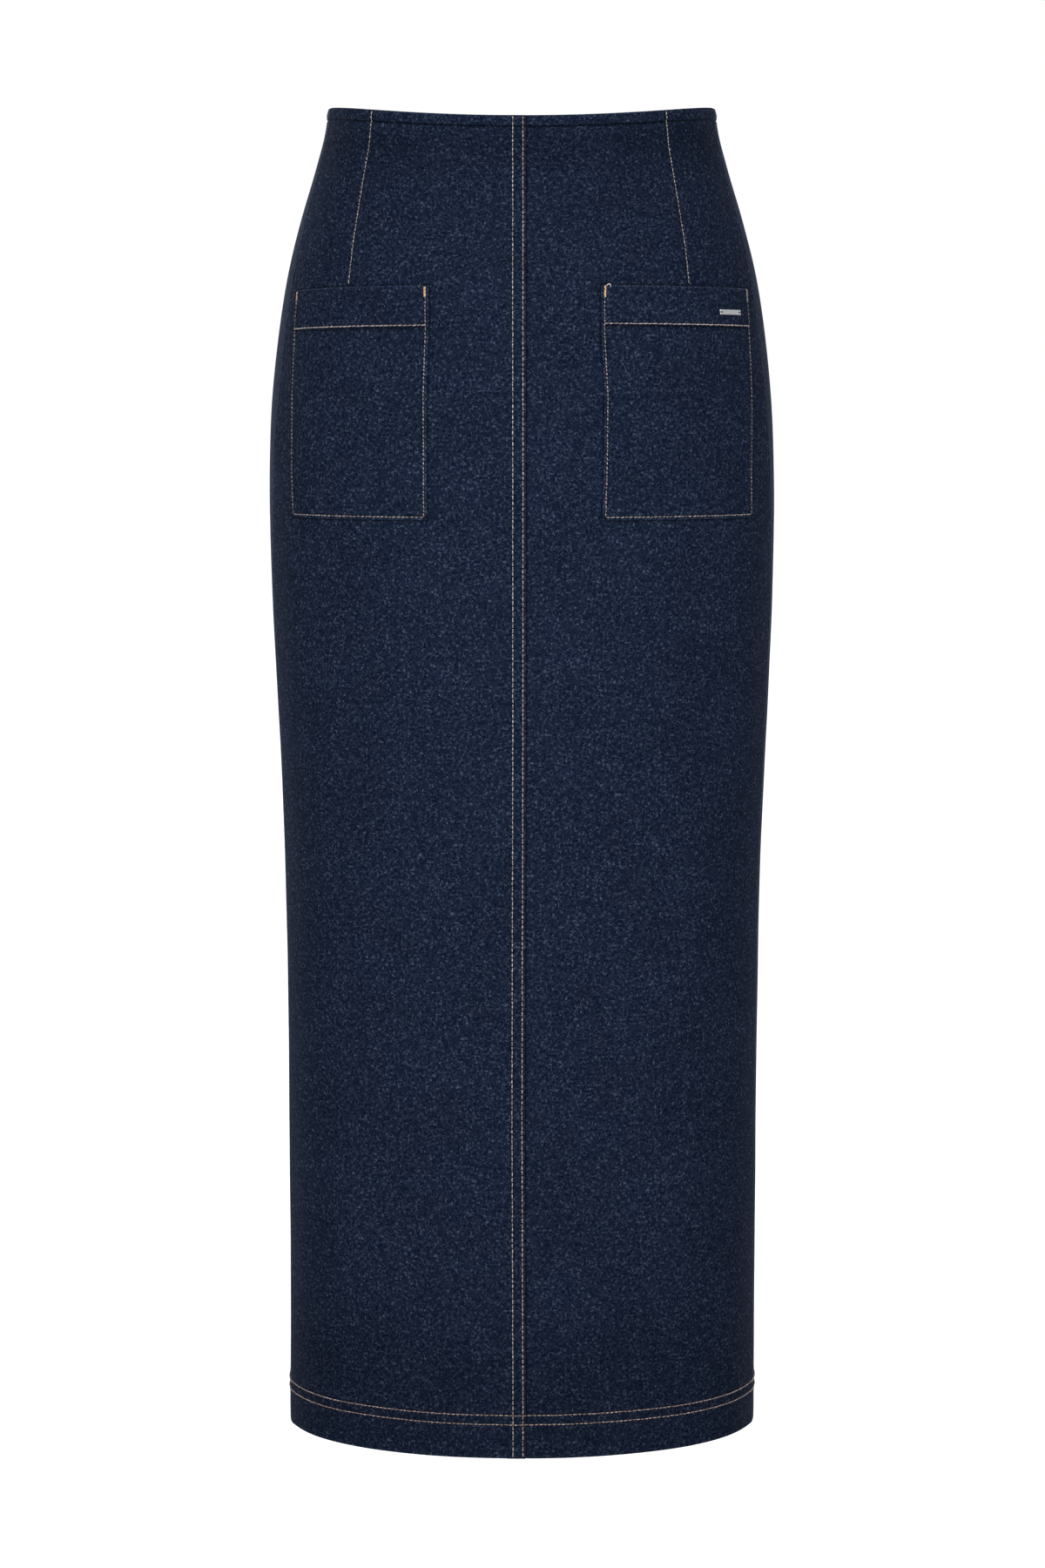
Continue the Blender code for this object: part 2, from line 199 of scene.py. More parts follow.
# %% Lines that the maker sews along
CENTRE_LINE = np.array(((0, 0.8), (420, 0.8), (700, 0.1), (900, 0.8), (940, 0.8)))    # drop, around
CENTRE_SEAM = 2.1         # from the centre line; no seam is sewn quite straight
CENTRE_ROWS = (0.0, -6.9)
HEM_ROWS = (909.4, 916.0)
HEM_TURN = 907.0
DART_TIP = 124.0
DART_COLUMNS = ("drop", "left", "right")
FRONT_DARTS = np.array(((0, 109.1, 104.1), (25, 110.7, 105.7), (49, 114.6, 109.3),
                        (97, 121.0, 116.3), (124, 123.7, 118.9), (940, 130.0, 125.0)))
BACK_DART_TIP = 138.0
BACK_DART_IN = ((0.0, 104.0), (138.0, 118.0), (940.0, 120.0))   # drop, from the back seam
SIDES = {"left": -1.0, "right": 1.0}


def centre_line(drop):
    """Where the centre line's right row of stitches runs."""
    return np.interp(drop, CENTRE_LINE[:, 0], CENTRE_LINE[:, 1])


def front_dart(side, drop):
    """Distance of a front dart from the middle; below its tip the line runs on unseen."""
    return np.interp(drop, FRONT_DARTS[:, 0], FRONT_DARTS[:, DART_COLUMNS.index(side)])


def back_dart(drop):
    """Distance of a back dart from the middle of the front."""
    stops, inward = np.array(BACK_DART_IN).T
    return half_girth(drop) - np.interp(drop, stops, inward)


print("front darts end", DART_TIP, "mm down and back darts", BACK_DART_TIP, "mm down")

# %% Lines of the pockets
POCKET_TOP = 125.5
POCKET_FOOT = 284.6
POCKET_MARGIN = 2.1       # from the cloth's edge to the stitches
BAND_ROW = {"left": 152.6, "right": 151.4}    # the stitches under the mouth's turned hem
POCKET_ROW_COLUMNS = ("drop", "inner", "outer")
POCKET_ROWS = {
    "left": np.array(((125, 65.5, 173.0), (155, 65.5, 174.5), (200, 67.0, 175.5),
                      (250, 67.0, 174.5), (285, 67.0, 172.5))),
    "right": np.array(((125, 56.0, 174.0), (155, 56.0, 175.0), (200, 58.5, 175.5),
                       (250, 58.0, 174.0), (285, 57.0, 174.0))),
}
OUTER_CORNER_FALLS = {"left": (1.4, -1.0), "right": (0.3, -0.9)}     # at the mouth and foot


def pocket_row(side, column, drop):
    """Distance from the middle of a pocket's inner or outer row of stitches."""
    table = POCKET_ROWS[side]
    return np.interp(drop, table[:, 0], table[:, POCKET_ROW_COLUMNS.index(column)])


def fallen(side, away, level):
    """The true drop of a pocket's level line: it falls with the square of its way out."""
    inner, outer = (pocket_row(side, column, level) for column in POCKET_ROW_COLUMNS[1:])
    way_out = np.clip((away - inner) / (outer - inner), 0.0, 1.0) ** 2
    down = (level - POCKET_TOP) / (POCKET_FOOT - POCKET_TOP)
    mouth_falls, foot_falls = OUTER_CORNER_FALLS[side]
    return level + way_out * ((1 - down) * mouth_falls + down * foot_falls)


def inside_pocket(side, around, drop):
    """Distance in from the nearest edge of a pocket's cloth, less than 0 outside it."""
    away = np.abs(around)
    from_inner = away - (pocket_row(side, "inner", drop) - POCKET_MARGIN)
    from_outer = pocket_row(side, "outer", drop) + POCKET_MARGIN - away
    from_mouth = drop - fallen(side, away, POCKET_TOP)
    from_foot = fallen(side, away, POCKET_FOOT) - drop
    return np.minimum(np.minimum(from_inner, from_outer), np.minimum(from_mouth, from_foot))


print("the pockets are", round(POCKET_FOOT - POCKET_TOP, 1), "mm deep")

# %% Soft shapes that the heights are made of
def step(value, start, end):
    """0 before start and 1 after end, with a smooth rise between."""
    t = np.clip((value - start) / (end - start), 0.0, 1.0)
    return t * t * (3 - 2 * t)


def hump(distance, width):
    """A bell of height 1 that is down to about a third at this distance."""
    return np.exp(-(distance / width) ** 2)


def bell(shape, distance):
    """The hump of this shape. Ridges, sunk lines, shade and wear are all given as such a
    pair: how high, deep or strong, and how wide."""
    height, width = shape
    return height * hump(distance, width)


def quarter_round(distance, radius):
    """0 at an edge, rising to 1 at this radius in from it along a quarter circle."""
    near = np.clip(distance / radius, 0.0, 1.0)
    return np.sqrt(1 - (1 - near) ** 2)


# %% Folds, waves and puckers
SWELL_RISE = 0.35         # share of its length in which a swell grows
SWELL_FADE = 60.0         # it fades from this much above its end to this much below
SWELLS = (                # around at its top and at its foot, start, end, width, height
    (-150, -142, 300, 925, 30, 1.1),
    (-96, -110, 360, 900, 26, -0.9),
    (-44, -52, 470, 935, 30, 0.6),
    (58, 66, 520, 930, 27, -0.7),
    (118, 128, 330, 910, 31, 1.0),
    (172, 160, 290, 860, 24, -1.0),
    (-252, -246, 240, 900, 32, -1.3),
    (-318, -300, 310, 935, 34, 1.8),
    (-372, -356, 420, 930, 28, -1.2),
    (-414, -392, 330, 820, 22, 0.8),
    (246, 258, 270, 930, 35, 1.7),
    (302, 296, 350, 900, 27, -1.5),
    (352, 344, 300, 935, 30, 1.2),
    (408, 386, 450, 920, 24, -0.9),
    (-205, -150, 118, 330, 20, -0.6),
    (208, 156, 110, 300, 22, -0.5),
    (-392, -300, 285, 355, 22, -0.9),
    (380, 286, 292, 372, 24, -1.0),
)


def swells(around, drop):
    """Broad folds: bells across, which drift from top to foot and fade at both ends."""
    total = np.zeros(np.broadcast(around, drop).shape)
    for top, foot, starts, ends, width, height in SWELLS:
        share = np.clip((drop - starts) / (ends - starts), 0.0, 1.0)
        middle = top + (foot - top) * share
        grown = step(drop, starts, starts + SWELL_RISE * (ends - starts))
        fade = grown * (1 - step(drop, ends - SWELL_FADE, ends + SWELL_FADE))
        total += height * fade * hump(around - middle, width)
    return total


SLOW_WAVE = 0.22
SMALL_WAVE = 0.07
WAVES_START = (20.0, 90.0)    # drops where they start and are whole: the waist is held even


def unevenness(around, drop):
    """Waves of about a quarter of a millimetre, so that no stretch is quite even. The
    divisors are lengths in mm that share no beat, so the waves never line up."""
    slow = np.sin(around / 23.0 + 1.3 * np.sin(drop / 61.0)) * np.sin(drop / 47.0 + around / 90.0)
    small = np.sin(around / 9.0 - drop / 31.0) * np.sin(drop / 17.0 + around / 37.0)
    return step(drop, *WAVES_START) * (SLOW_WAVE * slow + SMALL_WAVE * small)


PUCKERS = {               # height, length of a wave, and how far it reaches to either side
    "centre": (0.09, 11.0, 7.0), "side": (0.08, 14.0, 9.0), "back": (0.08, 13.0, 9.0),
    "dart": (0.05, 12.0, 5.0), "hem": (0.10, 12.5, 14.0), "pocket": (0.07, 10.0, 5.0),
    "strip": (0.12, 16.0, 6.0),
}


def pucker(seam, distance, along):
    """Small waves along a sewn line, strongest near it. A second, shorter wave keeps the
    first from looking regular."""
    height, length, reach = PUCKERS[seam]
    beat = (np.sin(along * 2 * math.pi / length)
            + 0.6 * np.sin(along * 2 * math.pi / (0.61 * length) + 1.7))
    return height * (beat * np.exp(-np.abs(distance) / reach))


print(len(SWELLS), "broad folds")

# %% Heights of the seams and folds
CENTRE_LAP = 0.75         # the centre front seam's left side stands on its allowances
CENTRE_LAP_ENDS = (-15.0, -11.0)
CENTRE_SINK = (0.30, 1.6)     # the cloth at its right side is pulled in
SIDE_RIDGE = (0.45, 7.0)
BACK_RIDGE = (0.35, 8.0)
DART_RIDGE = (0.40, 4.5)
DART_FOLD_IN = 4.0        # from a dart's line to the middle of the fold under it
DART_FADES = (-18.0, 10.0)    # a fold flattens out from here to here, about its tip
BACK_DART_FADES = (-22.0, 12.0)
HEM_LIFT = 0.25
HEM_RISES = (-5.0, 1.0)   # about the end of the turned cloth
HEM_MIDDLE = 922.0        # drop of the middle of the turned cloth
HEM_ROPING = 0.8          # how steeply the hem's waves slant


def about(place, ends):
    """Both ends, counted from a place."""
    return (place + ends[0], place + ends[1])


def relief(around, drop):
    """Height of the cloth over the plain form, which every layer shares."""
    around, drop = np.broadcast_arrays(np.asarray(around, float), np.asarray(drop, float))
    away = np.abs(around)
    left = around < 0
    height = swells(around, drop) + unevenness(around, drop)
    # the centre front seam's allowances lie under its left side
    centre = around - centre_line(drop) - CENTRE_SEAM
    height += CENTRE_LAP * step(centre, *CENTRE_LAP_ENDS) * (centre <= 0)
    height -= bell(CENTRE_SINK, centre) * (centre > 0)
    height += pucker("centre", centre, drop)
    # the side seams' pressed allowances
    side = away - side_seam(drop)
    height += bell(SIDE_RIDGE, side) + pucker("side", side, drop)
    # the back seam
    back = away - half_girth(drop)
    height += bell(BACK_RIDGE, back) + pucker("back", back, drop)
    # darts: their folds lie towards the middle, and end at the tips
    dart = away - np.where(left, front_dart("left", drop), front_dart("right", drop))
    in_dart = 1 - step(drop, *about(DART_TIP, DART_FADES))
    height += in_dart * (bell(DART_RIDGE, dart + DART_FOLD_IN) + pucker("dart", dart, drop))
    rear = away - back_dart(drop)
    in_rear = 1 - step(drop, *about(BACK_DART_TIP, BACK_DART_FADES))
    height += in_rear * (bell(DART_RIDGE, rear - DART_FOLD_IN) + pucker("dart", rear, drop))
    # the turned hem, roped a little by its stitches
    hem = step(drop, *about(HEM_TURN, HEM_RISES))
    height += hem * (HEM_LIFT + pucker("hem", drop - HEM_MIDDLE, around + HEM_ROPING * drop))
    return height


def cloth(around, drop, out):
    """World points in metres that stand this far out from the cloth's own right side."""
    return skin(around, drop, out + relief(around, drop))


print("the lapping side of the centre seam stands", CENTRE_LAP, "mm over the other")

# %% [markdown]
# ## Meshes from whole arrays
#
# Every piece of cloth here is a closed shell: a grid for the right side, a grid for the
# wrong side, and a rim that joins them. Solidify could thicken one grid, but the waist
# and the hem are double, so the wrong side is worked out from its own column of heights.
# The map of each face is in real metres along the cloth, so a weave keeps its scale.

# %% Mesh helpers
def quads(rows, columns, start=0, flip=False):
    """Corner numbers of a grid's faces, in row order."""
    corner = start + np.arange(rows - 1)[:, None] * columns + np.arange(columns - 1)[None, :]
    faces = np.stack((corner, corner + columns, corner + columns + 1, corner + 1), axis=-1)
    faces = faces.reshape(-1, 4)
    return faces[:, ::-1] if flip else faces


def make_mesh(name, points, faces, maps, tones, kinds=None, sharp=None):
    """A mesh object from arrays: points, four-cornered faces, a map place and shades for
    each point, and a material number for each face where they are given."""
    mesh = bpy.data.meshes.new(name)
    points = points.reshape(-1, 3)
    mesh.vertices.add(len(points))
    mesh.vertices.foreach_set("co", points.astype(np.float32).ravel())
    mesh.loops.add(faces.size)
    mesh.loops.foreach_set("vertex_index", faces.astype(np.int32).ravel())
    mesh.polygons.add(len(faces))
    starts = np.arange(len(faces), dtype=np.int32) * faces.shape[1]
    mesh.polygons.foreach_set("loop_start", starts)
    if kinds is not None:
        mesh.polygons.foreach_set("material_index", kinds.astype(np.int32))
    mesh.update(calc_edges=True)
    mesh.validate()
    layer = mesh.uv_layers.new(name="cloth_map")
    layer.data.foreach_set("uv", maps.reshape(-1, 2)[faces.ravel()].astype(np.float32).ravel())
    for title, values in tones.items():
        layer = mesh.attributes.new(title, "FLOAT", "POINT")
        layer.data.foreach_set("value", values.astype(np.float32).ravel())
    mesh.shade_smooth()
    if sharp is not None:
        mesh.set_sharp_from_angle(angle=math.radians(sharp))
    thing = bpy.data.objects.new(name, mesh)
    bpy.context.scene.collection.objects.link(thing)
    return thing


SHARP = 60                # degrees; a shell's shading breaks where its faces meet at more


def shell(name, outer, inner, maps, tones, kinds=None):
    """A closed shell from two grids of the same shape, joined all round their rims.

    outer and inner are rows x columns x 3, and the columns run towards the wearer's
    left hand, which is +X, so the right side's faces look out.
    """
    rows, columns = outer.shape[:2]
    half = rows * columns
    right_side = quads(rows, columns)
    wrong_side = quads(rows, columns, start=half, flip=True)
    index = np.arange(half).reshape(rows, columns)
    rim = np.concatenate((index[:-1, 0], index[-1, :-1], index[:0:-1, -1], index[0, :0:-1]))
    after = np.roll(rim, -1)
    edge = np.stack((rim, rim + half, after + half, after), axis=-1)
    faces = np.concatenate((right_side, wrong_side, edge))
    maps = np.stack((maps, maps))
    tones = {title: np.stack((values, values)) for title, values in tones.items()}
    if kinds is not None:
        kinds = np.concatenate((np.zeros(len(right_side)), kinds.ravel(), np.zeros(len(edge))))
    return make_mesh(name, np.stack((outer, inner)), faces, maps, tones, kinds, SHARP)


def cloth_map(around, drop, shift=(0.0, 0.0)):
    """Where places are on the roll of cloth, in metres. A piece cut from elsewhere on it
    has its own shift in mm, so that its weave isn't its neighbour's."""
    return np.stack((around + shift[0], shift[1] - drop), axis=-1) * MM


def crowded(start, end, coarse, fine, places, reach):
    """Places from start to end, coarse apart, that crowd to fine apart near some of them.

    The density is one over the spacing; its running sum is cut into equal shares.
    """
    fine_grid = np.linspace(start, end, 4000)
    density = np.full_like(fine_grid, 1.0 / coarse)
    for place in places:
        near = np.exp(-(np.abs(fine_grid - place) / reach) ** 2)
        density = np.maximum(density, (1.0 / fine) * near)
    steps = (density[1:] + density[:-1]) / 2 * np.diff(fine_grid)
    count = np.concatenate(([0.0], np.cumsum(steps)))
    pieces = max(int(round(count[-1])), 1)
    return np.interp(np.linspace(0.0, count[-1], pieces + 1), count, fine_grid)


# %% [markdown]
# ## The four panels
#
# A maker cuts two front and two back panels, turns their waist edge in and rolls it, and
# turns the hem up. So a panel is single cloth down its length and double at both ends.
# Across, the grid is fine at the seams and darts, where the surface turns within a
# millimetre, and coarse where it only swells.

# %% The wall from the waist edge to the hem
WALL = 1.2
WAIST_EDGE = -1.2         # the soft roll stands a little above the waist level
HEM_EDGE = LENGTH + 0.5
WAIST_ROUND = 1.1
HEM_ROUND = 0.7
ROLL_MIDDLE = 3.4         # drop of the fullest place of the soft roll
ROLL_BULGE = (0.55, 2.6)      # height and width
ROLL_HEIGHT = 7.2         # the rolled edge ends in a sunk line here
ROLL_GROOVE = (0.85, 0.55)
SEAM_CLEAR = 0.06         # half of the gap between two panels
TURN_IN = 16.0            # depth of the cloth turned in at the waist
TURN_IN_ENDS = (-0.4, 0.6)    # the second layer thins out from here to here, about its end
TURN_UP_STARTS = (-0.6, 0.4)

PANEL_DROPS = crowded(WAIST_EDGE, HEM_EDGE, coarse=4.4, fine=0.42, reach=3.0,
                      places=(0.0, 3.0, ROLL_HEIGHT, POCKET_TOP, POCKET_FOOT, *HEM_ROWS,
                              HEM_TURN, HEM_EDGE))
print("a panel has", len(PANEL_DROPS), "rows")


def rolled(drop):
    """Height of the right side near the waist edge: a rounded top, a soft roll, and the
    sunk line under it."""
    rounding = -WAIST_ROUND * (1 - quarter_round(drop - WAIST_EDGE, WAIST_ROUND))
    return rounding + bell(ROLL_BULGE, drop - ROLL_MIDDLE) - bell(ROLL_GROOVE, drop - ROLL_HEIGHT)


def hem_rounding(drop):
    """Height of either side near the hem edge, rounded as folded cloth is."""
    return HEM_ROUND * (1 - quarter_round(HEM_EDGE - drop, HEM_ROUND))


def right_side_height(drop):
    """Height of the right side: the roll at the waist and the fold at the hem."""
    return rolled(drop) - hem_rounding(drop)


def wrong_side_height(drop):
    """Height of the wrong side: double at the waist and the hem, single between. Its
    edges are rounded a little less than the right side's, so that the two never cross."""
    turned_in = 1 - step(drop, *about(TURN_IN, TURN_IN_ENDS))
    turned = turned_in + step(drop, *about(HEM_TURN, TURN_UP_STARTS))
    rounding = (WAIST_ROUND - 0.15) * (1 - quarter_round(drop - WAIST_EDGE, WAIST_ROUND))
    return -WALL - turned * WALL + rounding + 0.9 * hem_rounding(drop)


# %% Marks that stitches, seams and edges leave, and painted shade
STITCH_MARK = 0.8         # width of the sunk line along a row of stitches, and of the shade painted in it
DART_MARK = 0.7


def stitch_lines(around, drop):
    """How near each place is to a row of stitches, from 0 to 1."""
    away = np.abs(around)
    left = around < 0
    near = np.zeros(np.broadcast(around, drop).shape)
    for row in CENTRE_ROWS:
        near = np.maximum(near, hump(around - centre_line(drop) - row, STITCH_MARK))
    for row in HEM_ROWS:
        near = np.maximum(near, hump(drop - row, STITCH_MARK))
    dart = away - np.where(left, front_dart("left", drop), front_dart("right", drop))
    near = np.maximum(near, hump(dart, DART_MARK) * (drop < DART_TIP + 1))
    rear = away - back_dart(drop)
    return np.maximum(near, hump(rear, DART_MARK) * (drop < BACK_DART_TIP + 1))


# painted shade: a band under the waist edge and one above the hem are darkened in colour
SHADE_UNDER_WAIST = 0.30
WAIST_BAND = (5.0, 19.0, 56.0)    # drops where it starts, is darkest and has gone
SHADE_AT_HEM = 0.22
HEM_BAND = (820.0, 885.0)     # drops where it starts and is whole


def painted_shade_bands(drop):
    """Two bands of painted shade: on the single cloth just under the double waist edge,
    and on the last hand's width above the hem."""
    under_waist = step(drop, *WAIST_BAND[:2]) * (1 - step(drop, *WAIST_BAND[1:]))
    return np.maximum(SHADE_UNDER_WAIST * under_waist, SHADE_AT_HEM * step(drop, *HEM_BAND))


CENTRE_SHADE = (0.85, 0.55)   # darkness and width of the painted shade in each line
SIDE_SHADE = (0.35, 0.6)
BACK_SHADE = (1.0, 0.8)
ROLL_SHADE = (1.0, 0.6)
POCKET_SHADE = (0.75, 0.7)
SHADE_BESIDE = 0.35       # how far from the lapping edge its shade lies


def painted_seam_and_band_shade(around, drop):
    """How strongly painted shade darkens each place: along seams, in the roll's groove,
    beside the pockets' edges, and in the bands under the waist and above the hem.
    """
    away = np.abs(around)
    near = bell(CENTRE_SHADE, around - centre_line(drop) - CENTRE_SEAM - SHADE_BESIDE)
    near = np.maximum(near, bell(SIDE_SHADE, away - side_seam(drop)))
    near = np.maximum(near, bell(BACK_SHADE, away - half_girth(drop)))
    near = np.maximum(near, bell(ROLL_SHADE, drop - ROLL_HEIGHT))
    near = np.maximum(near, painted_shade_bands(drop))
    for side, sign in SIDES.items():
        edge = bell(POCKET_SHADE, inside_pocket(side, around, drop) + SHADE_BESIDE)
        near = np.maximum(near, edge * (sign * around > 0))
    return near


print("shade of", SHADE_UNDER_WAIST, "under the waist edge and", SHADE_AT_HEM, "above the hem")

# %% What every panel shares
CENTRE_ROUND = {"left": 0.8, "right": 0.3}
SIDE_ROUND = 0.8
EDGE_TURNS = 0.9          # how far an edge turns under, as a share of its radius
STITCH_PULL = 0.28        # how deep a row of stitches pulls the cloth in
LEAST_WALL = 0.12         # the wrong side stays at least this far inside the right side
END_WEAR = (0.6, 1.3)     # paleness and width of the wear along each edge
LAP_WEAR = (0.8, 0.6)
# the next is the paleness and width of a painted highlight on each side seam's ridge
SIDE_SEAM_HIGHLIGHT = (0.45, 0.8)
POCKET_CLEAR = 6.0        # least distance of a pocket's edge from the side seam
NOTCH_HALF = 1.45         # the back seam's edges part this much each side at the slider
NOTCH_END = 17.0          # parted fully down to here
NOTCH_CLOSED = 26.0       # and closed from here


def notch(drop):
    """How far each edge of the centre back seam is parted for the zip's slider."""
    return NOTCH_HALF * (1 - step(drop, NOTCH_END, NOTCH_CLOSED))


def panel(name, columns, rounds):
    """One panel. columns is rows x columns of distances round, from -X to +X, and rounds
    are the radii that its first and last edges turn under with."""
    drop = np.broadcast_to(PANEL_DROPS[:, None], columns.shape)
    # the stitch mask sinks the cloth and also paints shade along the rows
    stitch_sink_and_shade = stitch_lines(columns, drop)
    # painted shade along the seams, the roll's groove, the pockets' edges and the two bands
    painted_shade = painted_seam_and_band_shade(columns, drop)
    outer_height = right_side_height(drop) - STITCH_PULL * stitch_sink_and_shade
    for inward, radius in zip((columns - columns[:, :1], columns[:, -1:] - columns), rounds):
        turned = EDGE_TURNS * radius * (1 - quarter_round(inward, radius))
        outer_height = outer_height - turned
    inner_height = np.minimum(wrong_side_height(drop), outer_height - LEAST_WALL)
    outer = cloth(columns, drop, outer_height)
    inner = cloth(columns, drop, inner_height)
    maps = cloth_map(columns, drop)
    ends = np.minimum(drop - WAIST_EDGE, HEM_EDGE - drop)
    lap = columns - centre_line(drop) - CENTRE_SEAM
    wear_and_highlight = np.maximum(bell(END_WEAR, ends), bell(LAP_WEAR, lap) * (lap < 0))
    # a painted highlight along each side seam's ridge
    wear_and_highlight = np.maximum(wear_and_highlight, bell(SIDE_SEAM_HIGHLIGHT, np.abs(columns) - side_seam(drop) + 1.0))
    kinds = np.where((PANEL_DROPS[:-1] >= TURN_IN) & (PANEL_DROPS[:-1] < HEM_TURN), 1, 0)
    kinds = np.broadcast_to(kinds[:, None], (len(PANEL_DROPS) - 1, columns.shape[1] - 1))
    tones = {"stitch_sink_and_shade": stitch_sink_and_shade, "painted_shade": painted_shade, "wear_and_highlight": wear_and_highlight}
    thing = shell(name, outer, inner, maps, tones, kinds)
    print(name, len(thing.data.polygons) * 2, "triangles")
    return thing


def between(start, end, shares):
    """Distances that run from one line to another at these shares."""
    return start[:, None] + (end - start)[:, None] * shares[None, :]


def shares_of(width, near_start=(0.0,), near_end=(0.0,)):
    """Shares across a stretch of this width, crowded at these distances from its ends."""
    places = (*near_start, *(width - inward for inward in near_end))
    return crowded(0.0, width, coarse=5.2, fine=0.42, places=places, reach=2.6) / width


def across(lines, shares):
    """Columns that run through several lines in turn, with their own shares in each stretch."""
    stretches = [between(*ends, share) for *ends, share in zip(lines, lines[1:], shares)]
    return np.concatenate([stretches[0]] + [stretch[:, 1:] for stretch in stretches[1:]], axis=1)


GAP_OPENS = (1.0, 5.0)    # about the end of the cloth turned in
GAP_CLOSES = (-7.0, -1.0)     # about the end of the cloth turned up


def seam_gap(drop):
    """Half of what is left between two panels. Nothing lies behind a seam at the double
    waist and hem, so there they meet and no light comes through."""
    single = step(drop, *about(TURN_IN, GAP_OPENS)) * (1 - step(drop, *about(HEM_TURN, GAP_CLOSES)))
    return SEAM_CLEAR * single


# %% Make the panels
FRONT_STRETCHES = (62.0, 60.0, 52.0, 22.0)    # about how wide each stretch is, which says
BACK_STRETCHES = (130.0, 112.0)               # how many columns cross it


def front_panel(side):
    """From the centre seam past the pocket's edges and the dart to the side seam."""
    sign = SIDES[side]
    centre = centre_line(PANEL_DROPS) + CENTRE_SEAM + sign * seam_gap(PANEL_DROPS)
    seam = side_seam(PANEL_DROPS) - seam_gap(PANEL_DROPS)
    pocket_inner = pocket_row(side, "inner", PANEL_DROPS) - POCKET_MARGIN
    pocket_outer = pocket_row(side, "outer", PANEL_DROPS) + POCKET_MARGIN
    pocket_outer = np.minimum(pocket_outer, seam - POCKET_CLEAR)
    dart = front_dart(side, PANEL_DROPS)
    lines = (centre, *(sign * line for line in (pocket_inner, dart, pocket_outer, seam)))
    rows_near = (0.0, CENTRE_SEAM, CENTRE_SEAM - CENTRE_ROWS[1]) if side == "left" else (0.0,)
    first, *others = FRONT_STRETCHES
    shares = (shares_of(first, near_start=rows_near), *(shares_of(width) for width in others))
    columns = across(lines, shares)
    if side == "left":
        columns = columns[:, ::-1]
    return panel("front_panel_" + side, columns, (CENTRE_ROUND[side], SIDE_ROUND)[::int(sign)])


def back_panel(side):
    """From the side seam past the dart to the centre back seam."""
    centre = half_girth(PANEL_DROPS) - seam_gap(PANEL_DROPS) - notch(PANEL_DROPS)
    lines = (side_seam(PANEL_DROPS) + seam_gap(PANEL_DROPS), back_dart(PANEL_DROPS), centre)
    shares = [shares_of(width) for width in BACK_STRETCHES]
    columns = SIDES[side] * across(lines, shares)
    if side == "left":
        columns = columns[:, ::-1]
    return panel("back_panel_" + side, columns, (SIDE_ROUND, SIDE_ROUND))


panels = {("front", side): front_panel(side) for side in SIDES}
panels.update({("back", side): back_panel(side) for side in SIDES})

# %% [markdown]
# ## The patch pockets
#
# A patch pocket is a flat piece of denim with its edges folded under and its mouth
# turned down and stitched. It lies on the panel, so its points are the panel's points
# moved out by the panel's own height: it can't miss the curve of the hip. The folded
# edges are rounded, and the cloth between the stitches is a little fuller than flat.

# %% Pocket shape
POCKET_WALL = 1.2
LAY_GAP = 0.40            # air between the panel and the patch
POCKET_ROUND = 1.1        # radius that the folded edges turn under with
POCKET_PULL = 0.35        # how deep the stitches pull the patch in
BAND_EXTRA = 0.55         # the band's second layer, pressed flat, as a share of a wall
BAND_ENDS = (-0.6, 1.2)   # about the band's stitches
EDGE_LIFT = 0.35          # of the edge, which has its own turning under it
EDGE_DEEP = 1.5
FULLNESS = 0.75           # the cloth between the stitches stands this much fuller
FULL_BY = 30.0
GAPE = (0.55, 9.0)        # the slack at the mouth, which is whole this far from its ends
GAPE_FROM_SIDES = 25.0
POCKET_CUT_FROM = (37.0, -11.0)   # its place on the roll of cloth, away from the panel's


def pocket_height(side, around, drop):
    """Height of a pocket's right side over the panel's, and what its marks are made of."""
    away = np.abs(around)
    from_sides = np.minimum(away - pocket_row(side, "inner", drop),
                            pocket_row(side, "outer", drop) - away)
    from_foot = fallen(side, away, POCKET_FOOT - POCKET_MARGIN) - drop
    from_band = drop - fallen(side, away, BAND_ROW[side])
    from_mouth = drop - fallen(side, away, POCKET_TOP)
    from_stitches = np.minimum(from_sides, from_foot)
    # the stitch mask sinks the patch and also paints shade along its rows
    stitch_sink_and_shade = np.maximum(hump(from_sides, STITCH_MARK), hump(from_foot, STITCH_MARK))
    stitch_sink_and_shade = np.maximum(stitch_sink_and_shade, hump(from_band, STITCH_MARK) * (from_sides > -0.5))
    double = 1 - step(from_band, *BAND_ENDS)
    layers = POCKET_WALL * (1 + BAND_EXTRA * double) + EDGE_LIFT * (from_stitches < EDGE_DEEP)
    full = np.clip(from_stitches / FULL_BY, 0.0, 1.0) ** 0.6 * (1 - 0.6 * double)
    gape = bell(GAPE, from_mouth) * np.clip(from_sides / GAPE_FROM_SIDES, 0.0, 1.0)
    waves = pucker("pocket", from_stitches, around + drop)
    edge = inside_pocket(side, around, drop)
    body = layers + FULLNESS * full + gape + waves - POCKET_PULL * stitch_sink_and_shade
    return LAY_GAP + body * quarter_round(edge, POCKET_ROUND), stitch_sink_and_shade, from_band, gape, edge


BAND_SHADE = (0.9, 0.8)   # darkness and width of the shade just under the band's stitches
FOLD_WEAR = (1.0, 0.6)    # paleness and width of the wear along the folded edges


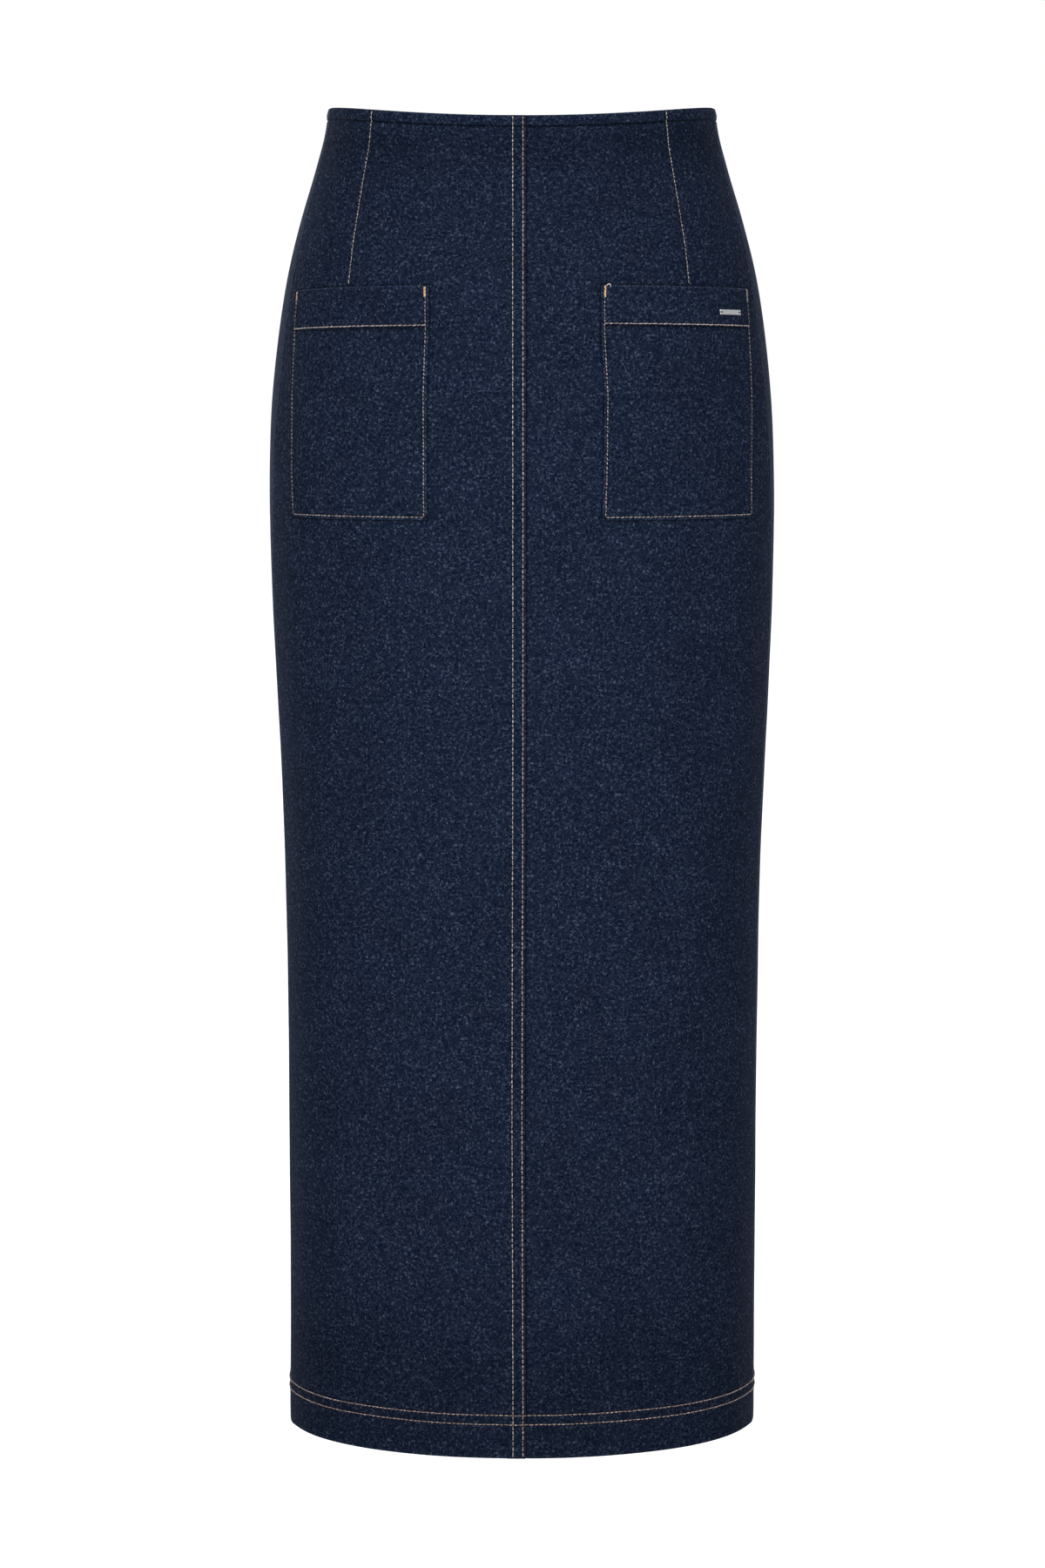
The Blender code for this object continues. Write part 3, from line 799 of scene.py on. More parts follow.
def pocket(side):
    """A pocket's shell, from its inner to its outer edge and from its mouth to its foot."""
    sign = SIDES[side]
    rows = crowded(POCKET_TOP, POCKET_FOOT, coarse=3.6, fine=0.4, reach=2.4,
                   places=(POCKET_TOP, BAND_ROW[side], POCKET_FOOT - POCKET_MARGIN, POCKET_FOOT))
    inner_edge = pocket_row(side, "inner", rows) - POCKET_MARGIN
    outer_edge = pocket_row(side, "outer", rows) + POCKET_MARGIN
    width = float((outer_edge - inner_edge).mean())
    shares = shares_of(width, near_start=(0.0, POCKET_MARGIN), near_end=(0.0, POCKET_MARGIN))
    columns = between(inner_edge, outer_edge, shares)
    drop = fallen(side, columns, np.broadcast_to(rows[:, None], columns.shape))
    columns = sign * columns
    if side == "left":
        columns = columns[:, ::-1]
        drop = drop[:, ::-1]
    height, stitch_sink_and_shade, from_band, gape, edge = pocket_height(side, columns, drop)
    outer = cloth(columns, drop, height)
    inner = cloth(columns, drop, np.minimum(LAY_GAP - 0.2 + 0.8 * gape, height - LEAST_WALL))
    maps = cloth_map(columns, drop, POCKET_CUT_FROM)
    # painted shade just under the band's stitches, and wear along the folded edges
    tones = {"stitch_sink_and_shade": stitch_sink_and_shade, "painted_shade": bell(BAND_SHADE, from_band - 1.6),
             "wear_and_highlight": bell(FOLD_WEAR, edge - 0.45)}
    thing = shell("patch_pocket_" + side, outer, inner, maps, tones)
    print(thing.name, len(thing.data.polygons) * 2, "triangles")
    return thing


pockets = {side: pocket(side) for side in SIDES}

# %% [markdown]
# ## The inside
#
# Someone who looks down into the waist, or up the hem, sees how the skirt was sewn: the
# side and back seams' allowances are pressed open, the centre front's lie together to
# the left under their topstitching, and each dart is a fold that tapers to its tip. They
# could be painted on, but they are strips of real thickness, so each is one more closed
# shell whose two faces are worked out from its own lines and heights.

# %% Strips of cloth on the wrong side
INSIDE_TOP = 17.0         # the turned waist edge covers them above this
INSIDE_FOOT = 906.0       # and the turned hem below this
STRIP_GAP = 0.12          # between a panel's wrong side and a strip
ALLOWANCE = 11.0
BACK_EXTRA = 1.5          # the zip needs this much more allowance
SEAM_LAP = 0.25           # how far an allowance that covers a seam reaches over it
LAP_CLEAR = 0.1           # and how far its neighbour keeps clear of that
STRIP_STEP = 5.0          # from one row of a strip to the next
STRIP_SHARES = np.array((0.0, 0.04, 0.12, 0.3, 0.55, 0.8, 0.96, 1.0))
STRIP_TURNS_IN = 1.2      # a strip is thinner this near to its seam
STRIP_SHADE = (0.45, 0.9)     # along its seam
STRIP_WEAR = (0.5, 0.7)       # along its raw edge
STRIP_CUT_FROM = (61.0, 23.0)


def strip(name, start, end, foot=INSIDE_FOOT, layers=1):
    """A closed strip on the wrong side, between two lines given as functions of the drop.

    Its faces are at -wall - gap and one or more layers further in; it thins towards its
    start line, as cloth does where it turns out of a seam.
    """
    rows = max(int((foot - INSIDE_TOP) / STRIP_STEP), 4) + 1
    drops = np.linspace(INSIDE_TOP, foot, rows)
    columns = between(start(drops), end(drops), STRIP_SHARES)
    drop = np.broadcast_to(drops[:, None], columns.shape)
    from_seam = columns - columns[:, :1]
    from_edge = columns - columns[:, -1:]
    rounding = 0.55 + 0.45 * quarter_round(np.abs(from_seam), STRIP_TURNS_IN)
    near = np.full_like(columns, -WALL - STRIP_GAP)
    far = near - layers * WALL * rounding - pucker("strip", from_edge, drop)
    maps = cloth_map(columns, drop, STRIP_CUT_FROM)
    # painted shade along the seam, and wear along the raw edge
    tones = {"stitch_sink_and_shade": 0.0 * columns, "painted_shade": bell(STRIP_SHADE, from_seam),
             "wear_and_highlight": bell(STRIP_WEAR, from_edge)}
    if float(columns[0, 0]) > float(columns[0, -1]):
        columns, drop, near, far, maps = (
            grid[:, ::-1] for grid in (columns, drop, near, far, maps))
        tones = {title: grid[:, ::-1] for title, grid in tones.items()}
    return shell(name, cloth(columns, drop, near), cloth(columns, drop, far), maps, tones)


def beside(line, sign, away):
    """The line this far from another one: sign * (line + away) at each drop."""
    return lambda drop: sign * (line(drop) + away)


def centre_seam(drop):
    """The centre front seam's distance from the middle of the front."""
    return centre_line(drop) + CENTRE_SEAM


def back_edge(drop):
    """The centre back seam's edge, which parts a little at the zip's slider."""
    return half_girth(drop) - notch(drop)


# %% Allowances and darts' folds
inside = {key: [] for key in panels}                        # the strips that lie on each panel
serged = [(beside(centre_seam, 1, -ALLOWANCE), 1.0, 2)]     # edge line, way to the seam, layers
inside["front", "left"].append(strip(
    "allowance_fold_centre_front", beside(centre_seam, 1, SEAM_LAP), serged[0][0], layers=2))
ALLOWANCES = (("front", "side_front", side_seam, -1), ("back", "side_back", side_seam, 1),
              ("back", "centre_back", back_edge, -1))
for side, sign in SIDES.items():
    for face, place, line, way in ALLOWANCES:
        title = "allowance_%s_%s" % (place, side)
        width = ALLOWANCE + BACK_EXTRA * (place == "centre_back")
        edge = beside(line, sign, way * width)
        # one of each pair reaches over the seam, so that no light comes through
        covers = place == "side_front" or title == "allowance_centre_back_left"
        start = beside(line, sign, way * (-SEAM_LAP if covers else SEAM_LAP + LAP_CLEAR))
        inside[face, side].append(strip(title, start, edge))
        serged.append((edge, -sign * way, 1))

FOLD_LEAST = 1.2          # a dart's fold is this wide at its tip
FOLD_GROWS = 9.0          # and this much wider at the waist level


def dart_fold(name, line, tip, sign, way):
    """A dart's fold: two layers, widest at the waist and nearly gone at the tip."""
    def folded(drop):
        return sign * (line(drop) + way * (FOLD_LEAST + FOLD_GROWS * (1 - drop / tip)))
    return strip(name, beside(line, sign, 0.0), folded, tip, layers=2)


for side, sign in SIDES.items():
    def front_line(drop, side=side):
        return front_dart(side, drop)
    inside["front", side].append(
        dart_fold("dart_fold_front_" + side, front_line, DART_TIP, sign, -1))
    inside["back", side].append(
        dart_fold("dart_fold_back_" + side, back_dart, BACK_DART_TIP, sign, 1))
print("strips on each panel:", {"_".join(key): len(strips) for key, strips in inside.items()})

# %% [markdown]
# ## Stitches
#
# Topstitching is what makes dark denim readable: a heavy thread that rises from one
# needle hole, lies on the cloth and dives into the next. A bump map would stay flat at
# the edge of a highlight, and a curve object for each stitch would be slow. So each
# stitch is a bent bead of forty faces, and a whole row is one array: its centres are
# places on the cloth, and its height is an arch that is flat on top and steep at its
# ends.

# %% Threads from arrays
THREAD_SIDES = 6
END_TAPER = (0.45, 5)     # a bead's ends are thinner by this share, reached by this power
PLY_SHIFT = 0.05          # m; each stitch shows another stretch of the thread's twist


def threads(name, around, drop, out, radius, seed, soil=0.0):
    """Beads of thread. around, drop and out are stitches x points along each, and the
    ring round a point is centre + r * (cos * sideways + sin * outward). soil darkens
    stitches: 0 is clean, and 1 and more is dull."""
    count, along = around.shape
    centre = cloth(around, drop, out)
    forward = np.gradient(centre, axis=1)
    forward /= np.linalg.norm(forward, axis=-1, keepdims=True) + 1e-12
    outward = skin(around, drop, 1.0) - skin(around, drop, 0.0)
    sideways = np.cross(forward, outward)
    sideways /= np.linalg.norm(sideways, axis=-1, keepdims=True) + 1e-12
    upward = np.cross(sideways, forward)
    sides = THREAD_SIDES
    angle = np.linspace(0.0, 2 * math.pi, sides, endpoint=False)
    share, power = END_TAPER
    size = radius * MM * (1 - share * np.abs(np.linspace(-1.0, 1.0, along)) ** power)
    ring = (np.cos(angle)[:, None] * sideways[:, :, None, :]
            + np.sin(angle)[:, None] * upward[:, :, None, :])
    points = centre[:, :, None, :] + size[None, :, None, None] * ring
    stitch = np.arange(count)[:, None, None] * along * sides
    place = np.arange(along - 1)[None, :, None] * sides
    turn = np.arange(sides)[None, None, :]
    a = stitch + place + turn
    b = stitch + place + (turn + 1) % sides
    walls = np.stack((a, a + sides, b + sides, b), axis=-1).reshape(-1, 4)
    first = np.arange(count)[:, None] * along * sides
    last = first + (along - 1) * sides
    # two faces close each six-sided end
    caps = (first + (0, 1, 2, 3), first + (0, 3, 4, 5), last + (3, 2, 1, 0), last + (5, 4, 3, 0))
    faces = np.concatenate((walls, *caps))
    steps = np.linalg.norm(np.diff(centre, axis=1), axis=-1)
    length = np.concatenate((np.zeros((count, 1)), np.cumsum(steps, axis=1)), axis=1)
    tone = np.random.default_rng(seed).random(count)
    length = length + PLY_SHIFT * tone[:, None]
    tone = tone + soil
    maps = np.stack(np.broadcast_arrays(length[:, :, None], angle[None, None, :] * MM), axis=-1)
    tones = {"tone": np.broadcast_to(tone[:, None, None], (count, along, sides))}
    thing = make_mesh(name, points, faces, maps, tones)
    print(name, count, "stitches,", len(faces) * 2, "triangles")
    return thing


# %% Rows of stitches
STITCH_POINTS = 7
STITCH_LIFT = 0.30        # height of the thread's middle line over the cloth
STITCH_SINK = 0.60        # its depth in the needle holes
UNEVEN = {"pitch": 0.40, "length": 0.12, "lean": 0.22, "sway": 0.16, "lift": 0.25}


def uneven(random, what, shape):
    """Draws about 0 over the whole range that UNEVEN gives, lowest to highest."""
    return UNEVEN[what] * (random.random(shape) - 0.5)


def row_of_stitches(around, drop, pitch, seed, fill=0.86, slant=0.0):
    """Stitches along a line on the cloth, whose holes are unevenly apart: each pitch is
    up to a fifth longer or shorter, and their sum is made to fit the line. fill is the
    share of its pitch that a stitch takes, and slant is how far one end lies to the side
    of the other, as a twisted thread makes it.

    Returns their centres as (around, drop, out), stitches x points along each.
    """
    around, drop = np.broadcast_arrays(np.asarray(around, float), np.asarray(drop, float))
    random = np.random.default_rng(seed)
    run = np.concatenate(([0.0], np.cumsum(np.hypot(np.diff(around), np.diff(drop)))))
    count = int(run[-1] / pitch)
    share = np.linspace(0.0, 1.0, STITCH_POINTS)[None, :]
    pitches = 1 + uneven(random, "pitch", count)
    holes = np.concatenate(([0.0], np.cumsum(pitches))) * run[-1] / pitches.sum()
    length = np.diff(holes)[:, None] * fill * (1 + uneven(random, "length", (count, 1)))
    at = (holes[:-1] + holes[1:])[:, None] / 2 + length * (share - 0.5)
    lean = slant + uneven(random, "lean", (count, 1))
    sway = uneven(random, "sway", (count, 1)) + lean * (share - 0.5)
    line_around = np.interp(at, run, around)
    line_drop = np.interp(at, run, drop)
    # a step to the line's side is (its slope down, less its slope around)
    side_around = np.gradient(drop, run)
    side_drop = -np.gradient(around, run)
    arch = 1 - (2 * share - 1) ** 4
    lift = STITCH_LIFT * (1 + uneven(random, "lift", (count, 1)))
    out = right_side_height(line_drop) - STITCH_SINK + (lift + STITCH_SINK) * arch
    return (line_around + sway * np.interp(at, run, side_around),
            line_drop + sway * np.interp(at, run, side_drop), out)


def joined(rows):
    """Several rows of stitches as one."""
    return tuple(np.concatenate(part) for part in zip(*rows))


print("a stitch has", THREAD_SIDES * (STITCH_POINTS - 1) + 4, "faces")

# %% Centre front
STITCH = 3.5
HEM_STITCH = 3.25
THREAD = 0.42             # radius of the topstitching thread
FROM_WAIST = 0.9          # the rows end just inside the rounded edges
FROM_HEM = 1.2
whole_length = np.linspace(WAIST_EDGE + FROM_WAIST, HEM_EDGE - FROM_HEM, 600)
centre_rows = [row_of_stitches(centre_line(whole_length) + row, whole_length, STITCH, seed=11 + i)
               for i, row in enumerate(CENTRE_ROWS)]
centre_thread = threads("stitches_centre_front", *joined(centre_rows), THREAD, seed=21)

# %% Hem
full_turn = np.linspace(-half_girth(LENGTH), half_girth(LENGTH), 900)
hem_rows = [row_of_stitches(full_turn, row, HEM_STITCH, seed=31 + i)
            for i, row in enumerate(HEM_ROWS)]
hem_thread = threads("stitches_hem", *joined(hem_rows), THREAD, seed=41)

# %% Darts
DART_STITCH = 2.85
DART_THREAD = 0.33
DARTS_START = WAIST_EDGE + 1.0
dart_rows = []
for number, (side, sign) in enumerate(SIDES.items()):
    line = np.linspace(DARTS_START, DART_TIP, 200)
    dart_rows.append(row_of_stitches(sign * front_dart(side, line), line, DART_STITCH,
                                     seed=51 + number))
    line = np.linspace(DARTS_START, BACK_DART_TIP, 200)
    dart_rows.append(row_of_stitches(sign * back_dart(line), line, DART_STITCH, seed=61 + number))
dart_thread = threads("stitches_darts", *joined(dart_rows), DART_THREAD, seed=71)

# %% Pockets
POCKET_LINES = {          # pitch, share of it that shows, and soil; the outer rows are darker
    "inner": (2.7, 0.80, 0.0), "outer": (2.7, 0.80, 1.6),
    "band": (3.4, 1.02, -0.6), "foot": (2.95, 0.86, 0.0),
}
POCKET_SLANT = 0.30
POCKET_THREAD = 0.40


def pocket_stitches(side):
    """Rows down both sides, across the foot and under the mouth, raised by the pocket,
    and how soiled each stitch is."""
    foot = POCKET_FOOT - POCKET_MARGIN
    level = np.linspace(POCKET_TOP + 1.5, foot, 200)
    lines = [(pocket_row(side, column, level), level) for column in POCKET_ROW_COLUMNS[1:]]
    for level in (BAND_ROW[side], foot):
        ends = [float(pocket_row(side, column, level)) for column in POCKET_ROW_COLUMNS[1:]]
        lines.append((np.linspace(*ends, 200), np.full(200, level)))
    rows = []
    for number, ((away, level), row) in enumerate(zip(lines, POCKET_LINES.values())):
        pitch, shown, soil = row
        around, drop, out = row_of_stitches(SIDES[side] * away, fallen(side, away, level), pitch,
                                            seed=81 + number, fill=shown, slant=POCKET_SLANT)
        out = out + pocket_height(side, around, drop)[0]
        rows.append((around, drop, out, np.full(len(around), soil)))
    return joined(rows)


pocket_threads = {}
for side in SIDES:
    *places, soil = pocket_stitches(side)
    pocket_threads[side] = threads("stitches_pocket_" + side, *places, POCKET_THREAD,
                                   seed=91, soil=soil)

# %% [markdown]
# ## Thread inside, and the zip's coil
#
# The bobbin's thread shows on the wrong side as a second row under each topstitched one;
# here it is drawn under the centre front's rows and the hem's.
# Raw edges are serged: slanted loops over the edge every few millimetres keep it from
# fraying. The concealed zip's teeth are one nylon monofilament wound into a coil, sewn
# along each tape; closed, the two coils' loops take turns across the middle. All of
# these are the same bead of thread again, with other places, heights and radii.

# %% Bobbin rows
BOBBIN_THREAD = 0.30


def turned_in(rows, face):
    """Rows of stitches, mirrored so that they stand in from a face at this height."""
    around, drop, out = rows
    return around, drop, face - (out - right_side_height(drop))


inside_run = np.linspace(INSIDE_TOP, INSIDE_FOOT, 500)
under_centre = -WALL - STRIP_GAP - 2 * WALL
bobbin_rows = [
    turned_in(row_of_stitches(centre_line(inside_run) + row, inside_run, STITCH, seed=15 + i),
              under_centre)
    for i, row in enumerate(CENTRE_ROWS)]
bobbin_rows += [
    turned_in(row_of_stitches(full_turn, row, HEM_STITCH, seed=37 + i), -2 * WALL)
    for i, row in enumerate(HEM_ROWS)]
bobbin_thread = threads("stitches_inside", *joined(bobbin_rows), BOBBIN_THREAD, seed=43)

# %% Serged edges
SERGE_PITCH = 3.0
SERGE_POINTS = 5          # along each loop
SERGE_SLANT = 0.55        # of a pitch, from a loop's start to its end
SERGE_DEEP = 4.0          # how far in a loop starts
SERGE_OVER = 0.25         # how far a loop reaches past the raw edge
SERGE_PROUD = 0.10        # height of its ends over the cloth
SERGE_ARCH = 0.16         # and how much higher its middle is
SERGE_DIVES = 0.5         # its last point turns back over the edge by this much
SERGE_THREAD = 0.22


def serging(edge, way, layers):
    """Slanted loops from a little way in to just over a raw edge."""
    count = int((INSIDE_FOOT - INSIDE_TOP) / SERGE_PITCH)
    share = np.linspace(0.0, 1.0, SERGE_POINTS)[None, :]
    drop = INSIDE_TOP + (np.arange(count)[:, None] + 0.5 + SERGE_SLANT * share) * SERGE_PITCH
    around = edge(drop) + way * (SERGE_DEEP * (1 - share) - SERGE_OVER)
    face = -WALL - STRIP_GAP - layers * WALL
    out = face - SERGE_PROUD - SERGE_ARCH * np.sin(math.pi * share) + SERGE_DIVES * (share > 0.99)
    return np.broadcast_arrays(around, drop, out)


serge_thread = threads("serged_edges", *joined([serging(*edge) for edge in serged]),
                       SERGE_THREAD, seed=47)

# %% The zip's coil and the stitches that hold its tapes
ZIP_TOP = 20.0
ZIP_FOOT = 204.0
TAPE_FACE = -3.75         # the tapes' inner face
COIL_PITCH = 0.76
COIL_SLANT = 0.35         # of a pitch, from a loop's middle to its end
COIL_HALF = 1.45          # half of a loop's width
COIL_STAGGER = 0.5        # every other loop starts from the other tape
COIL_PROUD = 0.30         # height of a loop's ends over the tape
COIL_ARCH = 0.45          # and how much higher its middle is
COIL_THREAD = 0.36
TAPE_ROW = 4.0            # from the seam to the stitches that hold a tape
TAPE_STITCH = 2.6
TAPE_THREAD = 0.22


def across_back(from_centre, drop):
    """Distance round of a place this far from the centre back seam, to either side."""
    side = np.where(from_centre < 0, -1.0, 1.0)
    return side * (half_girth(drop) - np.abs(from_centre))


def on_plain_form(around, drop, out):
    """The same place counted from the plain form, where the zip's tapes lie."""
    return around, drop, out - relief(around, drop)


count = int((ZIP_FOOT - ZIP_TOP) / COIL_PITCH)
share = np.linspace(-1.0, 1.0, STITCH_POINTS)[None, :]
turn = np.arange(count)[:, None]
coil_drop = ZIP_TOP + (turn + COIL_SLANT * share) * COIL_PITCH
coil_out = TAPE_FACE - COIL_PROUD - COIL_ARCH * (1 - share ** 4)
coil_at = COIL_HALF * share + COIL_STAGGER * (-1.0) ** turn
coil = on_plain_form(across_back(coil_at, coil_drop), coil_drop, coil_out)
zip_coil = threads("zip_coil", *coil, COIL_THREAD, seed=53)

tape_run = np.linspace(ZIP_TOP, ZIP_FOOT, 200)
tape_rows = []
for number, sign in enumerate(SIDES.values()):
    around, drop, out = row_of_stitches(sign * (half_girth(tape_run) - TAPE_ROW), tape_run,
                                        TAPE_STITCH, seed=57 + number)
    tape_rows.append(on_plain_form(around, drop, TAPE_FACE - out))
tape_thread = threads("stitches_zip_tapes", *joined(tape_rows), TAPE_THREAD, seed=59)

# %% [markdown]
# ## Bar tacks
#
# A tack is a dozen or so short stitches side by side, in a brighter thread, that stop a
# pocket's corner from tearing. The inner corners have a broad one and the outer corners
# a narrow one. One end of the thread was not trimmed, and stands up as a small loop.

# %% Bar tacks
TACKS = (                 # pocket, row, how far in from it, top, length and width
    ("left", "inner", 0.3, 126.7, 7.0, 1.5), ("left", "outer", -0.2, 128.2, 6.6, 1.0),
    ("right", "inner", 0.3, 126.1, 7.7, 1.4), ("right", "outer", -0.2, 126.0, 8.6, 1.1),
)
TACK_PITCH = 0.42
TACK_SLANT = 0.10
TACK_SINK = 0.2           # depth of a stitch's ends under the pocket's face
TACK_LIFT = 0.62          # height of its middle over its ends
TACK_THREAD = 0.25


def tack(side, row, offset, top, length, width):
    """Satin stitches from one edge of the tack to the other, each a little lower."""
    count = int(length / TACK_PITCH)
    share = np.linspace(-1.0, 1.0, STITCH_POINTS)[None, :]
    drop = top + (np.arange(count)[:, None] + 0.5) * TACK_PITCH + TACK_SLANT * share
    middle = pocket_row(side, row, drop) + offset * (1 if row == "inner" else -1)
    around = SIDES[side] * (middle + 0.5 * width * share)
    arch = 1 - share ** 4
    out = pocket_height(side, around, drop)[0] - TACK_SINK + TACK_LIFT * arch
    return around, drop, out


# the last tack is sewn in the pockets' own thread, so it is a piece of its own
bar_tacks = threads("bar_tacks", *joined([tack(*row) for row in TACKS[:3]]), TACK_THREAD, seed=101)
plain_tack = threads("bar_tack_outer_right", *tack(*TACKS[3]), TACK_THREAD, seed=103)

# %% The loose end
LOOP_AROUND = 56.9        # where it starts, on the right pocket's inner corner
LOOP_DROP = 126.1
LOOP_REACH = 3.1          # to the side
LOOP_RISE = 1.6           # up, at its middle
LOOP_FALL = 0.9           # down, at its end
LOOP_OUT = 2.6            # height of its ends over the panel
LOOP_BULGE = 1.2          # and how much further out its middle is
LOOP_THREAD = 0.33
CLEAN = -3.0              # soil of a thread that nothing has rubbed
bend = np.linspace(0.0, 1.0, 24)[None, :]
loop_around = LOOP_AROUND + LOOP_REACH * np.sin(0.5 * math.pi * bend)
loop_drop = LOOP_DROP - LOOP_RISE * np.sin(math.pi * bend) + LOOP_FALL * bend
loop_out = LOOP_OUT + LOOP_BULGE * np.sin(math.pi * bend)
loose_end = threads("loose_thread_end", loop_around, loop_drop, loop_out, LOOP_THREAD,
                    seed=107, soil=CLEAN)

# %% The thread through the bar's holes
BAR_ROUND = 152.0         # the bar's middle, along the cloth from the middle of the front
BAR_DROP = 142.7
BAR_HOLE_OUT = 8.6        # from the bar's middle to a hole
BAR_END_OUT = 11.2        # to the cloth beyond its end
BAR_FACE = 4.35           # height of the bar's face over the panel
TIE_SINK = 0.9            # a tie starts and ends this far under the face
TIE_RISE = 1.25           # height of its middle over its ends
TIE_THREAD = 0.38
share = np.linspace(0.0, 1.0, 12)[None, :]
end = np.array((-1.0, 1.0))[:, None]
tie_around = BAR_ROUND + end * (BAR_HOLE_OUT + (BAR_END_OUT - BAR_HOLE_OUT) * share)
tie_out = BAR_FACE - TIE_SINK + TIE_RISE * np.sqrt(np.sin(math.pi * share))
tie_places = np.broadcast_arrays(tie_around, BAR_DROP, tie_out)
bar_ties = threads("bar_ties", *tie_places, TIE_THREAD, seed=109)

# %% [markdown]
# ## Materials
#
# One small function adds a node with its settings and its links, so that each material
# reads as a list of what it is made of. Colours are written as sRGB hex, as a dyer's
# chart or a paint program gives them, and turned to linear light once.

# %% Material helpers
def colour(hex_code):
    """Linear light from an sRGB hex colour."""
    values = [int(hex_code[i:i + 2], 16) / 255 for i in (1, 3, 5)]
    return (*[v / 12.92 if v <= 0.04045 else ((v + 0.055) / 1.055) ** 2.4 for v in values], 1.0)


def add(tree, kind, settings=None, links=None, **attributes):
    """Add a node, set its attributes and inputs, and link its inputs to sockets."""
    node = tree.nodes.new(kind)
    for name, value in attributes.items():
        setattr(node, name, value)
    for name, value in (settings or {}).items():
        node.inputs[name].default_value = value
    for name, socket in (links or {}).items():
        tree.links.new(socket, node.inputs[name])
    return node


def new_material(name, settings):
    """A material with one Principled shader and these values on its own sockets."""
    made = bpy.data.materials.new(name)
    made.use_nodes = True
    shader = made.node_tree.nodes["Principled BSDF"]
    for socket, value in settings.items():
        shader.inputs[socket].default_value = value
    return made, made.node_tree, shader


def paint(thing, *finishes):
    """Give a piece its materials in order. A new mesh has none, and clearing its list
    would also forget which face has which."""
    if thing.data.materials:
        thing.data.materials.clear()
    for finish in finishes:
        thing.data.materials.append(finish)


print("indigo in linear light:", [round(value, 4) for value in colour("#081327")[:3]])

# %% [markdown]
# ### Denim
#
# Denim is a warp-faced twill: indigo warp threads cover the right side and undyed weft
# shows in flecks between them. The yarns are about 0.35 mm apart, too fine to draw one
# by one at this size, so the flecks are drawn as coarse as the eye gathers them: short,
# pale, wormy strokes a millimetre or two long. They are the tops of a noise, and a
# second noise makes some bright and drowns others. The twill's slanting lines are faint
# waves, four yarns apart as woven, which show only from near by. The dye is also a
# little uneven over a hand's width. Painted shade darkens the cloth where stitches sink
# it, along seams and grooves, beside the pockets' edges, under the waist edge and above
# the hem. It is paler along folded edges, which are rubbed, and along the side seams'
# ridges, where a highlight is painted.

# %% Denim
FLECK_CELL = 1.5          # mm, the cells of the noise that the strokes wind through
FLECK_POWER = 6.0         # keeps only the tops of the noise, as sparse bright dots
YARN_SHARE = 0.26         # how much of the noise shows as it is, in the ground
PATCH_CELL = 7.0          # mm, stretches where the flecks are stronger or fainter
WALE_ACROSS = 1.4         # mm from one twill line to the next along the weft: four yarns
WALE_RISE = 1.7           # how steeply the lines climb to the right
WALE_WAVER = 1.5          # how much the lines bend
WALE_LIGHT = (0.72, 1.28)     # the flecks are fainter between the lines, and stronger on them
WALE_RELIEF = 0.6         # how high the lines stand, where a fleck stands 1
CLOUDS_PER_METRE = 22.0
CLOUD_LIGHT = (0.90, 1.10)    # the uneven dye
SHADE_LIGHT = 0.20        # what is left of the colour under the fullest painted shade, at stitches and seams
WEAR_AND_HIGHLIGHT_LIGHT = 1.9          # how much paler a rubbed edge is, and a side seam's ridge under its painted highlight
